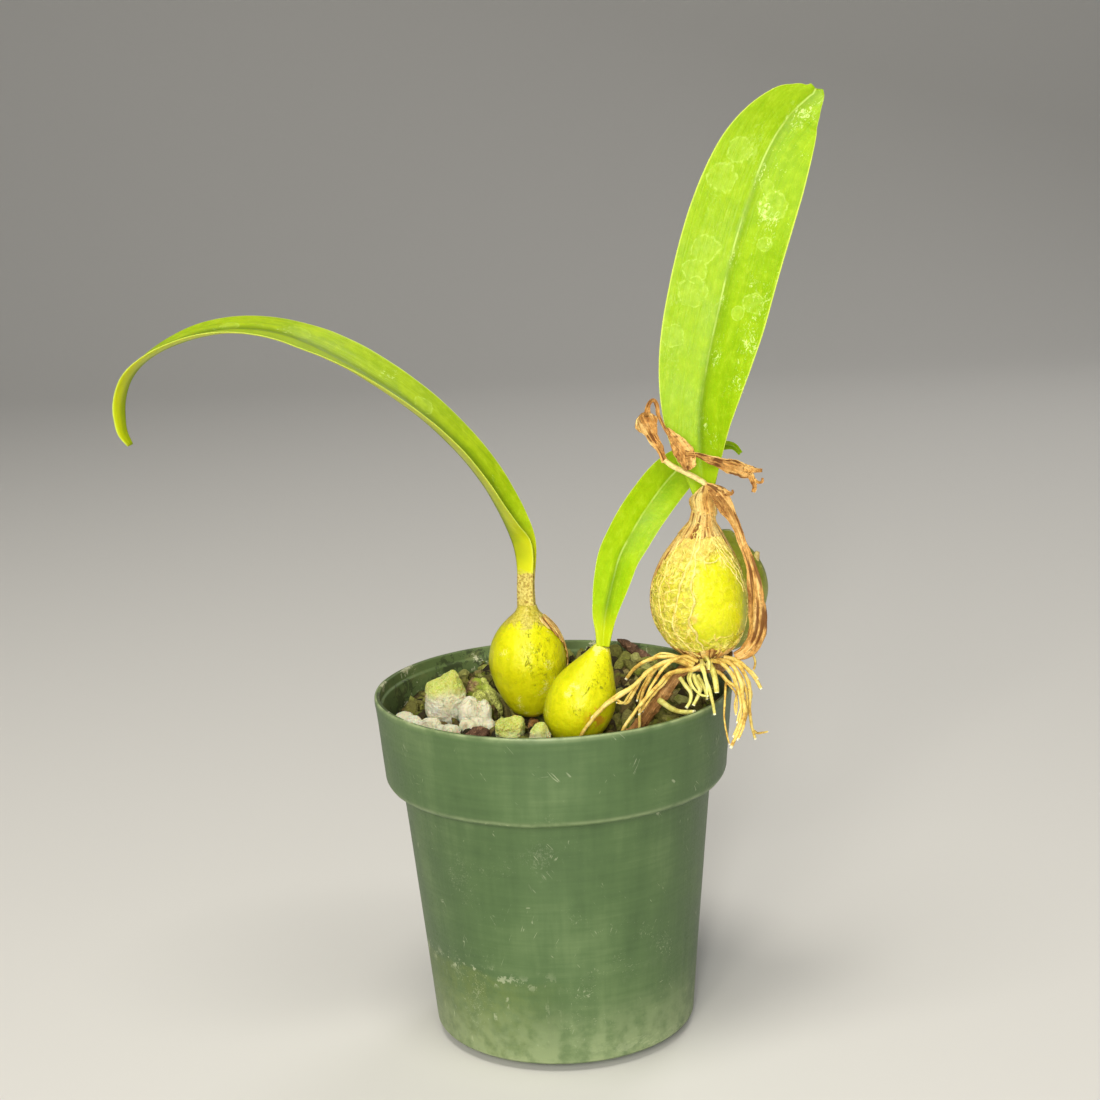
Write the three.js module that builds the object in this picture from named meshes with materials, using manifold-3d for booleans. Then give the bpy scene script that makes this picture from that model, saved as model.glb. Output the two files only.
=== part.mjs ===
// A potted bulbophyllum cupreum: four pseudobulbs on a creeping rhizome, three strap leaves, roots, a dry net
// sheath and dry flower parts, in a round nursery pot filled with bark and pumice.
// Millimetres, +Z up. The origin is the centre of the pot's foot on the ground, and the viewer looks along +Y.

import * as THREE from 'three';
import { mergeVertices } from 'three/addons/utils/BufferGeometryUtils.js';
import Module from 'manifold-3d';

const wasm = await Module();
wasm.setup();

// Driving dimensions of the pot
const POT_HEIGHT = 88.5;
const RIM_RADIUS = 45;
const COLLAR_FOOT_RADIUS = 43;
const COLLAR_FOOT_Z = 67;
const WALL_TOP_RADIUS = 38.9;
const WALL_TOP_Z = 65.4;
const WALL_FOOT_RADIUS = 33;
const WALL_FOOT_Z = 2.6;
const FOOT_RADIUS = 27.5;
const FOOT_STEP = 1.8;
const WALL = 1.3;
const BEAD_DROP = 2.2;
const BEAD = 0.45;
const DRAIN_HOLES = 6;
const DRAIN_RADIUS = 3;
const DRAIN_CIRCLE = 22;
const POT_SIDES = 36;

// Clearance between neighbours, and the mix's level
const GAP = 0.3;
const MIX_LEVEL = 79.6;
const MIX_RISE = 5.2;
const MIX_CHUNKS = 34;
const MIX_SEED = 11;

// Thinnest blade of a leaf, a sheath or a dry bract
const BLADE = 0.62;

const COLORS = {
  pot: 0x3f6a48,
  mix: 0x3a2d1e,
  pumice: 0xd8d6c4,
  mossyPumice: 0xa9b06a,
  bark: 0x6b4a30,
  mossyBark: 0x9aa650,
  bulb: 0xa9b414,
  oliveBulb: 0x7d8a24,
  leaf: 0x8cc21a,
  rhizome: 0x8f6a3f,
  root: 0xd9b062,
  paleRoot: 0xcfd07a,
  sheath: 0xd2b98a,
  dry: 0xa8683a,
};

function matte(color, roughness) {
  return new THREE.MeshStandardMaterial({ color, roughness, metalness: 0 });
}

// Small helpers for points, random draws and values that change along a piece

function at(x, y, z) {
  return new THREE.Vector3(x, y, z);
}

function path(points) {
  return new THREE.CatmullRomCurve3(points.map((p) => at(...p)), false, 'centripetal');
}

function seeded(seed) {
  let state = seed;
  return () => {
    state = (state * 1664525 + 1013904223) % 4294967296;
    return state / 4294967296;
  };
}

function smooth(edge0, edge1, x) {
  const t = THREE.MathUtils.clamp((x - edge0) / (edge1 - edge0), 0, 1);
  return t * t * (3 - 2 * t);
}

// The value at t between keys [t, value], eased through them
function along(keys, t) {
  let k = 0;
  while (k < keys.length - 2 && t > keys[k + 1][0]) {
    k += 1;
  }
  const before = keys[Math.max(k - 1, 0)];
  const from = keys[k];
  const to = keys[k + 1];
  const after = keys[Math.min(k + 2, keys.length - 1)];
  const span = to[0] - from[0];
  const s = THREE.MathUtils.clamp((t - from[0]) / span, 0, 1);
  const slopeIn = ((to[1] - before[1]) / (to[0] - before[0])) * span;
  const slopeOut = ((after[1] - from[1]) / (after[0] - from[0])) * span;
  const s2 = s * s;
  const s3 = s2 * s;
  return (
    (2 * s3 - 3 * s2 + 1) * from[1] +
    (s3 - 2 * s2 + s) * slopeIn +
    (3 * s2 - 2 * s3) * to[1] +
    (s3 - s2) * slopeOut
  );
}

// Solids: a closed geometry becomes a manifold solid and back

function welded(geometry) {
  const bare = geometry.clone();
  bare.deleteAttribute('normal');
  bare.deleteAttribute('uv');
  const merged = mergeVertices(bare, 1e-4);
  const index = merged.index.array;
  const kept = [];
  for (let i = 0; i < index.length; i += 3) {
    const [a, b, c] = [index[i], index[i + 1], index[i + 2]];
    if (a !== b && b !== c && c !== a) {
      kept.push(a, b, c);
    }
  }
  merged.setIndex(kept);
  return merged;
}

function signedVolume(geometry) {
  const p = geometry.attributes.position;
  const index = geometry.index.array;
  const [a, b, c] = [at(0, 0, 0), at(0, 0, 0), at(0, 0, 0)];
  let volume = 0;
  for (let i = 0; i < index.length; i += 3) {
    a.fromBufferAttribute(p, index[i]);
    b.fromBufferAttribute(p, index[i + 1]);
    c.fromBufferAttribute(p, index[i + 2]);
    volume += a.dot(b.cross(c)) / 6;
  }
  return volume;
}

function facingOut(geometry) {
  const merged = welded(geometry);
  if (signedVolume(merged) < 0) {
    const index = merged.index.array;
    for (let i = 0; i < index.length; i += 3) {
      [index[i], index[i + 1]] = [index[i + 1], index[i]];
    }
  }
  return merged;
}

function solidOf(geometry) {
  const merged = facingOut(geometry);
  return new wasm.Manifold(
    new wasm.Mesh({
      numProp: 3,
      vertProperties: new Float32Array(merged.attributes.position.array),
      triVerts: new Uint32Array(merged.index.array),
    }),
  );
}

function joined(geometries) {
  return geometries.map(solidOf).reduce((sum, solid) => sum.add(solid));
}

// Loose scraps that a cut leaves are dropped: the largest body stays
function largestBody(solid) {
  const bodies = solid.decompose();
  bodies.sort((a, b) => b.volume() - a.volume());
  return bodies[0];
}

function geometryOf(solid) {
  const mesh = solid.getMesh();
  const geometry = new THREE.BufferGeometry();
  geometry.setAttribute('position', new THREE.BufferAttribute(new Float32Array(mesh.vertProperties), 3));
  geometry.setIndex(new THREE.BufferAttribute(new Uint32Array(mesh.triVerts), 1));
  return geometry;
}

// Shapes

// A lathe piece turned about Z
function turned(profile, sides) {
  const lathe = new THREE.LatheGeometry(profile.map(([r, z]) => new THREE.Vector2(r, z)), sides);
  return lathe.rotateX(Math.PI / 2);
}

// A round rod bent along a curve. radiusAt gives the radius at each part t of its length.
function bentRod(curve, radiusAt, sides, steps) {
  const spots = curve.getSpacedPoints(steps);
  const frames = curve.computeFrenetFrames(steps, false);
  const profile = [new THREE.Vector2(0, 0)];
  for (let i = 0; i <= steps; i += 1) {
    profile.push(new THREE.Vector2(radiusAt(i / steps), i));
  }
  profile.push(new THREE.Vector2(0, steps));
  const rod = new THREE.LatheGeometry(profile, sides);
  const p = rod.attributes.position;
  const spot = at(0, 0, 0);
  for (let i = 0; i < p.count; i += 1) {
    const station = Math.round(p.getY(i));
    spot.copy(spots[station]);
    spot.addScaledVector(frames.binormals[station], p.getX(i));
    spot.addScaledVector(frames.normals[station], p.getZ(i));
    p.setXYZ(i, spot.x, spot.y, spot.z);
  }
  return rod;
}

// A closed blade between an upper and a lower skin, both split into triangles alike.
// pointAt(j, i, side) gives the point at station j, cell edge i, on the upper (1) or lower (-1) skin.
function closedBlade(stations, cells, pointAt) {
  const row = 2 * (cells + 1);
  const positions = [];
  for (let j = 0; j <= stations; j += 1) {
    for (const side of [1, -1]) {
      for (let i = 0; i <= cells; i += 1) {
        positions.push(...pointAt(j, i, side).toArray());
      }
    }
  }
  const index = [];
  const quad = (a, b, c, d) => index.push(a, b, c, a, c, d);
  for (let j = 0; j < stations; j += 1) {
    const near = j * row;
    const far = near + row;
    for (let i = 0; i < cells; i += 1) {
      const low = cells + 1;
      quad(near + i, near + i + 1, far + i + 1, far + i);
      index.push(near + low + i, far + low + i + 1, near + low + i + 1);
      index.push(near + low + i, far + low + i, far + low + i + 1);
    }
    quad(near + cells, near + row - 1, far + row - 1, far + cells);
    quad(near, far, far + cells + 1, near + cells + 1);
  }
  for (let i = 0; i < cells; i += 1) {
    const low = cells + 1;
    const end = stations * row;
    quad(i, low + i, low + i + 1, i + 1);
    quad(end + i, end + i + 1, end + low + i + 1, end + low + i);
  }
  const geometry = new THREE.BufferGeometry();
  geometry.setAttribute('position', new THREE.BufferAttribute(new Float32Array(positions), 3));
  geometry.setIndex(index);
  return geometry;
}

// The way a blade's upper side faces at each station: roll 0 turns it to the right of a rising blade and up on one
// that runs left, and roll 90 turns it to the viewer.
function bladeFrames(curve, stations, rollAt) {
  const frames = [];
  for (let j = 0; j <= stations; j += 1) {
    const t = j / stations;
    const tangent = curve.getTangentAt(t);
    const across = at(0, 1, 0).cross(tangent).normalize();
    const towards = across.clone().cross(tangent).normalize();
    if (towards.y > 0) {
      towards.negate();
    }
    const roll = THREE.MathUtils.degToRad(rollAt(t));
    const facing = across.multiplyScalar(Math.cos(roll)).addScaledVector(towards, Math.sin(roll)).normalize();
    const sideways = tangent.clone().cross(facing).normalize();
    frames.push({ spot: curve.getPointAt(t), tangent, facing, sideways });
  }
  return frames;
}

// A strap leaf with its petiole. All keys are [part of the length, value]: half width in mm, fold of each half in
// degrees, roll in degrees, and thickness at the midrib in mm. notch draws the midrib's end back.
const LEAF_EDGES = [-1, -0.6, -0.2, 0, 0.2, 0.6, 1];

function strapLeaf({ spine, halfWidth, fold, roll, thickness, notch = 0, stations }) {
  const curve = path(spine);
  const frames = bladeFrames(curve, stations, (t) => along(roll, t));
  return closedBlade(stations, LEAF_EDGES.length - 1, (j, i, side) => {
    const t = j / stations;
    const { spot, tangent, facing, sideways } = frames[j];
    const u = LEAF_EDGES[i];
    const out = Math.abs(u);
    const half = along(halfWidth, t);
    const angle = THREE.MathUtils.degToRad(along(fold, t));
    const mid = along(thickness, t);
    const edge = Math.max(BLADE, mid * 0.3);
    const deep = edge + (mid - edge) * (1 - out) ** 1.6;
    const lift = half * Math.sin(angle) * out ** 1.2 + (mid - deep) * 0.5;
    const point = spot.clone();
    point.addScaledVector(sideways, half * u * Math.cos(angle));
    point.addScaledVector(facing, lift + (side * deep) / 2);
    point.addScaledVector(tangent, -notch * (1 - out) * smooth(0.965, 1, t));
    return point;
  });
}

// A stone or chip: an icosahedron pushed in and out by a few slow waves
function lump({ center, size, turn = [0, 0, 0], rough = 0.16, detail = 1, seed = 1, grow = 0 }) {
  const stone = new THREE.IcosahedronGeometry(1, detail);
  const p = stone.attributes.position;
  const draw = seeded(seed);
  const waves = [0, 1, 2, 3].map(() => ({
    way: at(draw() - 0.5, draw() - 0.5, draw() - 0.5).normalize(),
    rate: 2 + 3 * draw(),
    phase: 6 * draw(),
  }));
  const v = at(0, 0, 0);
  for (let i = 0; i < p.count; i += 1) {
    v.fromBufferAttribute(p, i);
    const push = waves.reduce((sum, w) => sum + Math.sin(w.rate * v.dot(w.way) * 2 + w.phase), 0) / waves.length;
    v.multiplyScalar(1 + rough * push);
    p.setXYZ(i, v.x * (size[0] + grow), v.y * (size[1] + grow), v.z * (size[2] + grow));
  }
  const [rx, ry, rz] = turn.map(THREE.MathUtils.degToRad);
  return stone.applyMatrix4(
    new THREE.Matrix4().makeRotationFromEuler(new THREE.Euler(rx, ry, rz)).setPosition(...center),
  );
}

// Pot: one turned wall with a collar and a foot, and drain holes through the floor

function innerWallRadius(z) {
  const share = (z - WALL_FOOT_Z) / (WALL_TOP_Z - WALL_FOOT_Z);
  return WALL_FOOT_RADIUS + share * (WALL_TOP_RADIUS - WALL_FOOT_RADIUS) - WALL;
}

function innerCollarRadius(z) {
  const share = (z - COLLAR_FOOT_Z) / (POT_HEIGHT - COLLAR_FOOT_Z);
  return COLLAR_FOOT_RADIUS + share * (RIM_RADIUS - COLLAR_FOOT_RADIUS) - WALL;
}

function makePot() {
  const floorTop = WALL + 0.1;
  const beadZ = POT_HEIGHT - BEAD_DROP;
  const profile = [
    [0, 0],
    [FOOT_RADIUS, 0],
    [FOOT_RADIUS + 1, 0.4],
    [FOOT_RADIUS + 1.6, FOOT_STEP],
    [WALL_FOOT_RADIUS - 0.7, FOOT_STEP],
    [WALL_FOOT_RADIUS - 0.1, FOOT_STEP + 0.3],
    [WALL_FOOT_RADIUS, WALL_FOOT_Z],
    [WALL_TOP_RADIUS, WALL_TOP_Z],
    [COLLAR_FOOT_RADIUS - 0.7, COLLAR_FOOT_Z - 0.8],
    [COLLAR_FOOT_RADIUS, COLLAR_FOOT_Z],
    [RIM_RADIUS, POT_HEIGHT - 0.6],
    [RIM_RADIUS - 0.3, POT_HEIGHT],
    [RIM_RADIUS - WALL + 0.35, POT_HEIGHT],
    [RIM_RADIUS - WALL, POT_HEIGHT - 0.35],
    [innerCollarRadius(beadZ), beadZ],
    [innerCollarRadius(beadZ) - BEAD, beadZ - 0.35],
    [innerCollarRadius(COLLAR_FOOT_Z) - BEAD, COLLAR_FOOT_Z + WALL],
    [innerWallRadius(WALL_TOP_Z), WALL_TOP_Z + WALL],
    [innerWallRadius(FOOT_STEP + 2.2), FOOT_STEP + 2.2],
    [innerWallRadius(FOOT_STEP + 2.2) - 0.9, FOOT_STEP + WALL],
    [FOOT_RADIUS, FOOT_STEP + WALL],
    [FOOT_RADIUS - 1.2, floorTop],
    [0, floorTop],
  ];
  const drains = [];
  for (let i = 0; i < DRAIN_HOLES; i += 1) {
    const angle = (2 * Math.PI * (i + 0.5)) / DRAIN_HOLES;
    const drill = turned([[0, -2], [DRAIN_RADIUS, -2], [DRAIN_RADIUS, 6], [0, 6]], 12);
    drains.push(drill.translate(DRAIN_CIRCLE * Math.cos(angle), DRAIN_CIRCLE * Math.sin(angle), 0));
  }
  return geometryOf(solidOf(turned(profile, POT_SIDES)).subtract(joined(drains)));
}

// Pseudobulbs: one egg profile, [part of the length, radius as part of the widest], with its own neck

const ROUND_EGG = [
  [0, 0.28], [0.04, 0.46], [0.14, 0.66], [0.28, 0.86], [0.4, 0.96], [0.5, 1], [0.6, 0.97], [0.7, 0.88], [0.8, 0.71],
  [0.88, 0.5], [0.94, 0.32],
];
const PEAR_EGG = [
  [0, 0.24], [0.05, 0.5], [0.14, 0.78], [0.27, 0.95], [0.4, 1], [0.52, 0.96], [0.63, 0.83], [0.78, 0.59], [0.88, 0.41],
  [0.95, 0.3],
];
const RAISED_EGG = [
  [0, 0.3], [0.05, 0.56], [0.12, 0.78], [0.24, 0.96], [0.36, 1], [0.5, 0.93], [0.62, 0.77], [0.72, 0.57], [0.8, 0.38],
  [0.86, 0.24],
];
const BULB_SIDES = 16;
const BULB_RINGS = 12;

// lean pushes the belly sideways, in mm
const BULBS = {
  left: { egg: ROUND_EGG, base: [-5.8, 0, 81.1], top: [-5.6, 0.6, 108.8], radius: 9.75, neck: 2.3, lean: [-0.3, 0] },
  front: { egg: PEAR_EGG, base: [1.9, -21.6, 80.3], top: [12.1, -21, 102.9], radius: 8.3, neck: 1.8, lean: [0.3, 0] },
  raised: {
    egg: RAISED_EGG, base: [36.8, -17, 98.8], top: [37.8, -17, 137.5], radius: 11.3, neck: 2.2, lean: [-1.6, 0],
  },
  back: { egg: ROUND_EGG, base: [44.2, 6.4, 94.6], top: [44.6, 7, 124.8], radius: 10.5, neck: 1.4, lean: [0, 0] },
};

function bulbRadius(bulb, t) {
  return along([...bulb.egg, [1, bulb.neck / bulb.radius]], t) * bulb.radius;
}

// The middle of the bulb at t, a part of its length
function bulbCore(bulb, t) {
  const belly = Math.sin(Math.PI * THREE.MathUtils.clamp(t, 0, 1));
  const core = at(...bulb.base).lerp(at(...bulb.top), t);
  return core.add(at(bulb.lean[0] * belly, bulb.lean[1] * belly, 0));
}

function bulbBody(bulb, grow = 0) {
  const profile = [[0, 0]];
  for (let i = 0; i <= BULB_RINGS; i += 1) {
    profile.push([bulbRadius(bulb, i / BULB_RINGS) + grow, i]);
  }
  profile.push([0, BULB_RINGS]);
  const body = turned(profile, BULB_SIDES);
  const p = body.attributes.position;
  const axis = at(...bulb.top).sub(at(...bulb.base)).normalize();
  const turn = new THREE.Quaternion().setFromUnitVectors(at(0, 0, 1), axis);
  const v = at(0, 0, 0);
  for (let i = 0; i < p.count; i += 1) {
    const t = p.getZ(i) / BULB_RINGS;
    const wave = 1 + 0.015 * Math.cos(6 * Math.atan2(p.getY(i), p.getX(i))) * Math.sin(Math.PI * t);
    v.set(p.getX(i) * wave, p.getY(i) * wave, (2 * t - 1) * grow);
    v.applyQuaternion(turn).add(bulbCore(bulb, t));
    p.setXYZ(i, v.x, v.y, v.z);
  }
  return body;
}

// The small pale bud stands out of the back bulb's right side
const BUD = [[49.8, 4.6, 114.6], [51.4, 4.3, 116.8], [52.2, 4, 119.6]];

function makeBackBulb() {
  const bud = bentRod(path(BUD), (t) => 1.5 - 0.9 * t, 8, 3);
  return geometryOf(joined([bulbBody(BULBS.back), bud]));
}

// Leaves

const LEAVES = {
  leaf_left: {
    spine: [
      [-6.4, 1, 109.3], [-6.2, 1, 113], [-6.2, 1, 118], [-7.1, 0.8, 123.2], [-8.8, 0.5, 128.1], [-11.3, 0, 133.9],
      [-14.3, -0.4, 139.8], [-18.3, -1, 145.9], [-22.8, -1.5, 151.4], [-28.5, -2.2, 157.3], [-34.5, -3, 162.4],
      [-40.6, -3.6, 167], [-46.8, -4.3, 171.3], [-53, -5, 175.2], [-60, -6, 178.6], [-66.5, -6.8, 180.3],
      [-73, -7.6, 180.8], [-80, -8.5, 180.1], [-85.5, -9.4, 178.7], [-90.1, -10.2, 176.8], [-93.9, -10.8, 174.3],
      [-96.5, -11.5, 171.3], [-98.1, -12, 168], [-98.8, -12.4, 164.7], [-98.9, -12.8, 161.5], [-98.7, -13, 158.6],
      [-97.5, -13, 155.3],
    ],
    halfWidth: [
      [0, 2.25], [0.05, 2.4], [0.11, 4.5], [0.15, 5.5], [0.2, 6.6], [0.3, 8.5], [0.4, 9.5], [0.5, 9.9], [0.62, 9.7],
      [0.7, 9], [0.79, 7.8], [0.86, 6.3], [0.91, 4.8], [0.955, 3.4], [0.98, 2.5], [1, 1.1],
    ],
    fold: [
      [0, 50], [0.11, 54], [0.15, 40], [0.2, 28], [0.3, 21], [0.5, 17.5], [0.56, 13], [0.62, 7.5], [0.75, 8], [0.86, 7],
      [0.91, 19], [0.955, 32], [1, 38],
    ],
    roll: [
      [0, 12], [0.11, 11], [0.15, 16], [0.2, 15], [0.3, 10.5], [0.55, 10.5], [0.7, 7], [0.79, 4], [0.86, 2], [0.93, 4],
      [1, 8],
    ],
    thickness: [[0, 3.2], [0.06, 2.8], [0.14, 1.8], [0.3, 1.4], [0.6, 1.2], [1, 0.8]],
    stations: 28,
  },
  leaf_front: {
    spine: [
      [12.6, -20.9, 103.7], [12.9, -20.6, 107], [13.3, -20, 110.9], [14.1, -19, 114.4], [15.5, -17.5, 119.3],
      [17.2, -15.5, 124.1], [19.8, -13, 128.3], [22.8, -10, 132.4], [26, -6.6, 136], [29.2, -3, 139.1],
      [32.5, 0.5, 141.7], [36, 4, 143.8], [39.9, 7, 145.3], [44, 9, 146], [47.2, 9.8, 145.5], [49, 9.9, 143.6],
    ],
    halfWidth: [
      [0, 2.1], [0.05, 2.6], [0.12, 3.7], [0.22, 4.9], [0.36, 5.7], [0.5, 5.9], [0.66, 5.8], [0.8, 5], [0.9, 3.8],
      [1, 1.1],
    ],
    fold: [[0, 42], [0.1, 31], [0.3, 24], [0.8, 24], [1, 30]],
    roll: [[0, 103], [0.2, 101], [0.4, 101], [0.6, 100], [0.8, 96], [1, 92]],
    thickness: [[0, 2.6], [0.12, 1.9], [0.3, 1.2], [1, 0.8]],
    stations: 20,
  },
  leaf_raised: {
    spine: [
      [37.8, -17, 138], [37.6, -17, 144.4], [37.3, -17, 150.6], [37.4, -16.6, 157.3], [38.3, -16, 164.5],
      [39.9, -15.4, 172.6], [42.2, -14.6, 181.7], [44.6, -13.8, 190.8], [47.4, -12.8, 199.9], [50.7, -11.4, 208.8],
      [54.1, -10, 216.6], [57.5, -9, 222.2], [60.8, -8.4, 226.2], [64.2, -8, 229], [67.2, -8, 230.4],
    ],
    halfWidth: [
      [0, 2.9], [0.058, 4.9], [0.115, 6.9], [0.185, 8.9], [0.254, 10.5], [0.336, 11.7], [0.43, 12.4], [0.6, 12.6],
      [0.72, 12.1], [0.8, 11.1], [0.873, 9.3], [0.927, 7.1], [0.973, 4.6], [1, 2.4],
    ],
    fold: [[0, 42], [0.06, 34], [0.12, 26], [0.2, 19], [0.3, 15], [0.6, 13], [1, 10]],
    roll: [[0, 108], [0.25, 111], [0.4, 107], [0.6, 103], [0.78, 99], [0.9, 91], [1, 86]],
    thickness: [[0, 3.4], [0.06, 2.6], [0.16, 1.5], [0.4, 1.2], [1, 0.8]],
    notch: 1.4,
    stations: 24,
  },
};

// Rhizome: from below the raised bulb down into the mix, on under the front bulb and up to the left bulb's base,
// and a short link back to the leafless bulb

const RHIZOME_RADIUS = 1.75;
const RHIZOME_MAIN = [
  [38.4, -17, 96.4], [36, -17, 96.7], [33.4, -17, 96.6], [30.2, -17.5, 94.9], [27.6, -18, 91.5], [24.2, -18, 87.2],
  [21.4, -18, 83.6], [17.6, -18.6, 80], [10.6, -20.4, 77.4], [3.6, -21.4, 77], [-1.6, -14.6, 77.2],
  [-4.6, -5, 78.2], [-5.6, 0.6, 79.2],
];
const RHIZOME_LINK = [[36.8, -17, 96.4], [39.4, -11, 94.6], [42.4, -2, 92.6], [44, 5.4, 92.4], [44.6, 9, 93]];

function rhizomeParts(grow = 0) {
  const swell = (t) => RHIZOME_RADIUS + grow + 0.16 * Math.sin(52 * t);
  const [x, y, z] = RHIZOME_MAIN.at(-1);
  return [
    bentRod(path([...RHIZOME_MAIN.slice(0, -1), [x, y + grow, z + grow / 2]]), (t) => swell(t) * (1 - 0.25 * smooth(0.94, 1, t)), 8, 24),
    bentRod(path(RHIZOME_LINK), (t) => swell(t) * (1 - 0.25 * smooth(0.8, 1, t)), 8, 8),
  ];
}

// Roots: [radius at the start, points]. Each bunch starts in the same small knob, so it holds together.

const ROOT_SIDES = 5;
const ROOT_STEP = 3.1;
const ROOTS = {
  roots_left: {
    knob: { center: [33.2, -20.8, 97.6], size: [2.8, 1.6, 1.5] },
    strands: [
      [0.62, [[33, -21, 98.2], [30.3, -22.4, 100.5], [26.1, -22.2, 100.7], [22.9, -21.4, 99.8], [20, -20.4, 97.9], [17.6, -19, 94.6]]],
      [0.66, [[33, -22, 97.8], [30.3, -23, 99.8], [27, -24.6, 100], [23.7, -27, 99.2], [21.1, -29, 97.8], [18.3, -31.6, 96],
        [15.2, -33.2, 94.5], [12.4, -34, 93], [9.5, -34, 90], [6.6, -33.4, 86.2], [5.4, -33, 83.4], [4.8, -32.6, 80]]],
      [0.55, [[32, -21, 98], [29, -20.6, 99.2], [26.6, -20.6, 98.8], [24.3, -21.4, 97], [22.4, -22, 94], [20.9, -23, 90.6],
        [20.4, -24, 86.6], [20.2, -24, 82.6], [20, -24, 79.4]]],
      [0.5, [[20.6, -29.4, 97.4], [18.6, -30.2, 94], [17.4, -29.8, 92], [16.1, -29, 91.7], [14.6, -28, 92.6]]],
      [0.62, [[34.7, -21.6, 98.4], [33.3, -22.4, 97.8], [30.8, -24, 97.8], [27.6, -26, 97.5], [25.5, -28, 96.2],
        [23, -30, 94.2], [20.5, -31.4, 92], [18, -32.4, 89.2], [15.8, -33, 86], [14.6, -33, 83], [13.8, -32.8, 80]]],
    ],
  },
  roots_middle: {
    knob: { center: [34, -19.8, 94.2], size: [3.4, 1.3, 1.3] },
    strands: [
      [0.66, [[31.4, -21, 94.2], [32.2, -22, 92.4], [32.8, -23, 90.6], [32, -24, 88.8]]],
      [0.66, [[32.6, -21, 94.6], [34.3, -22.2, 93], [34.4, -23, 91], [33.2, -24.4, 88.4], [31, -25, 86]]],
      [0.6, [[34.3, -21, 94.2], [35.8, -22.6, 93.2], [36.6, -24, 91.2], [36.9, -25, 89.4]]],
      [0.85, [[31.4, -24.8, 86.6], [30.4, -26, 87.6], [28.3, -25, 88.6], [26.1, -24, 89.6], [24.6, -23, 90.4]]],
      [0.62, [[35.6, -20.6, 94.4], [36.2, -21.6, 95.8], [36.9, -24, 93.6], [37.3, -26, 90.6], [38, -27.4, 86.9]]],
      [0.95, [[36, -20.8, 94.6], [38.6, -21, 94.6], [39.2, -21.4, 92.6], [39.4, -21.4, 90.3]]],
    ],
  },
  roots_right: {
    knob: { center: [41, -19.6, 97.4], size: [2.6, 1.5, 1.3] },
    strands: [
      [0.42, [[43.6, -19.4, 98.8], [45.6, -18.4, 100], [47.3, -19, 99.7], [48.3, -20, 98.4], [48.2, -21, 96.7], [47.8, -21, 95]]],
      [0.72, [[42.6, -20, 98.6], [44.9, -20, 97.3], [46.6, -20.4, 95.5], [48.2, -21, 93.6], [49.5, -21, 91.2]]],
      [0.66, [[41.6, -20, 98.4], [43, -21.4, 97.2], [44.3, -22.4, 95.6], [45.3, -23.4, 93.3], [45.9, -24, 91], [46.1, -24, 88.4],
        [45.8, -24.4, 86], [45, -24.8, 84], [43.5, -25.6, 82.4], [41.4, -26.6, 79.6]]],
      [0.6, [[41.4, -21, 97.8], [40.8, -22.4, 95.4], [42.1, -24, 93.4], [43.4, -25, 92.4], [44.2, -26, 90.2], [44.1, -27, 87.6],
        [43.2, -28, 85], [42, -28.6, 82.2], [41, -29.2, 79.8]]],
      [0.52, [[43.8, -20, 97], [46.1, -20.4, 94.4], [47, -21, 91.7], [47.2, -21, 88.5], [46.9, -21, 85.2], [47.7, -21, 82.2],
        [48.2, -21, 78.8]]],
      [0.36, [[47.9, -21, 81.6], [48.4, -20.6, 80.6], [49.6, -19.8, 80], [51.5, -18.8, 79.8]]],
      [0.45, [[46.2, -20.6, 94.6], [48, -21, 92.2], [48.2, -21.4, 90.5], [47.2, -21.2, 88.2]]],
    ],
  },
};

function makeRoots({ knob, strands }, seed) {
  const pieces = [lump({ ...knob, rough: 0.08, detail: 1, seed })];
  for (const [radius, points] of strands) {
    const curve = path(points);
    const steps = Math.max(4, Math.round(curve.getLength() / ROOT_STEP));
    pieces.push(bentRod(curve, (t) => radius * (1 - 0.42 * t) + 0.05 * Math.sin(31 * t + seed), ROOT_SIDES, steps));
  }
  return geometryOf(largestBody(joined(pieces)));
}

// Dry net sheath: a ridged collar round the raised bulb's neck, fibres that run down the bulb and short links
// between them. A window at the front right is bare.

const FIBRE = 0.34;
const SHEATH_OFF = GAP + FIBRE + 0.2;
const FIBRE_COUNT = 11;
const FIBRE_STEPS = 7;
const FIBRE_FOOT = 0.07;
const FIBRE_HEAD = 0.83;
const LINK_LEVELS = [0.2, 0.38, 0.56];
const WINDOW = { from: -4, to: 60, head: 0.62, foot: 0.1 };

// A point off the raised bulb's surface: angle in degrees from the viewer's side towards the right, t up its length
function onRaisedBulb(angle, t, off) {
  const radius = bulbRadius(BULBS.raised, t) + off;
  const turn = THREE.MathUtils.degToRad(angle);
  return bulbCore(BULBS.raised, t).add(at(radius * Math.sin(turn), -radius * Math.cos(turn), 0));
}

function inWindow(angle, t) {
  const a = ((angle + 180) % 360) - 180;
  return a > WINDOW.from && a < WINDOW.to && t < WINDOW.head && t > WINDOW.foot;
}

function neckCollar() {
  const levels = [0.8, 0.85, 0.9, 0.95, 0.995];
  const inner = levels.map((t) => [bulbRadius(BULBS.raised, t) + GAP + 0.05, t]);
  const outer = levels.map((t) => [bulbRadius(BULBS.raised, t) + GAP + 0.7, t]);
  const ring = turned([...outer, ...inner.reverse(), outer[0]], 18);
  const p = ring.attributes.position;
  for (let i = 0; i < p.count; i += 1) {
    const angle = Math.atan2(p.getY(i), p.getX(i));
    const radius = Math.hypot(p.getX(i), p.getY(i)) + 0.1 * (1 + Math.cos(9 * angle));
    const core = bulbCore(BULBS.raised, p.getZ(i));
    p.setXYZ(i, core.x + radius * Math.cos(angle), core.y + radius * Math.sin(angle), core.z);
  }
  return ring;
}

function fibre(points, radius = FIBRE, steps = 2) {
  return bentRod(new THREE.CatmullRomCurve3(points, false, 'centripetal'), () => radius, 3, steps);
}

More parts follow.
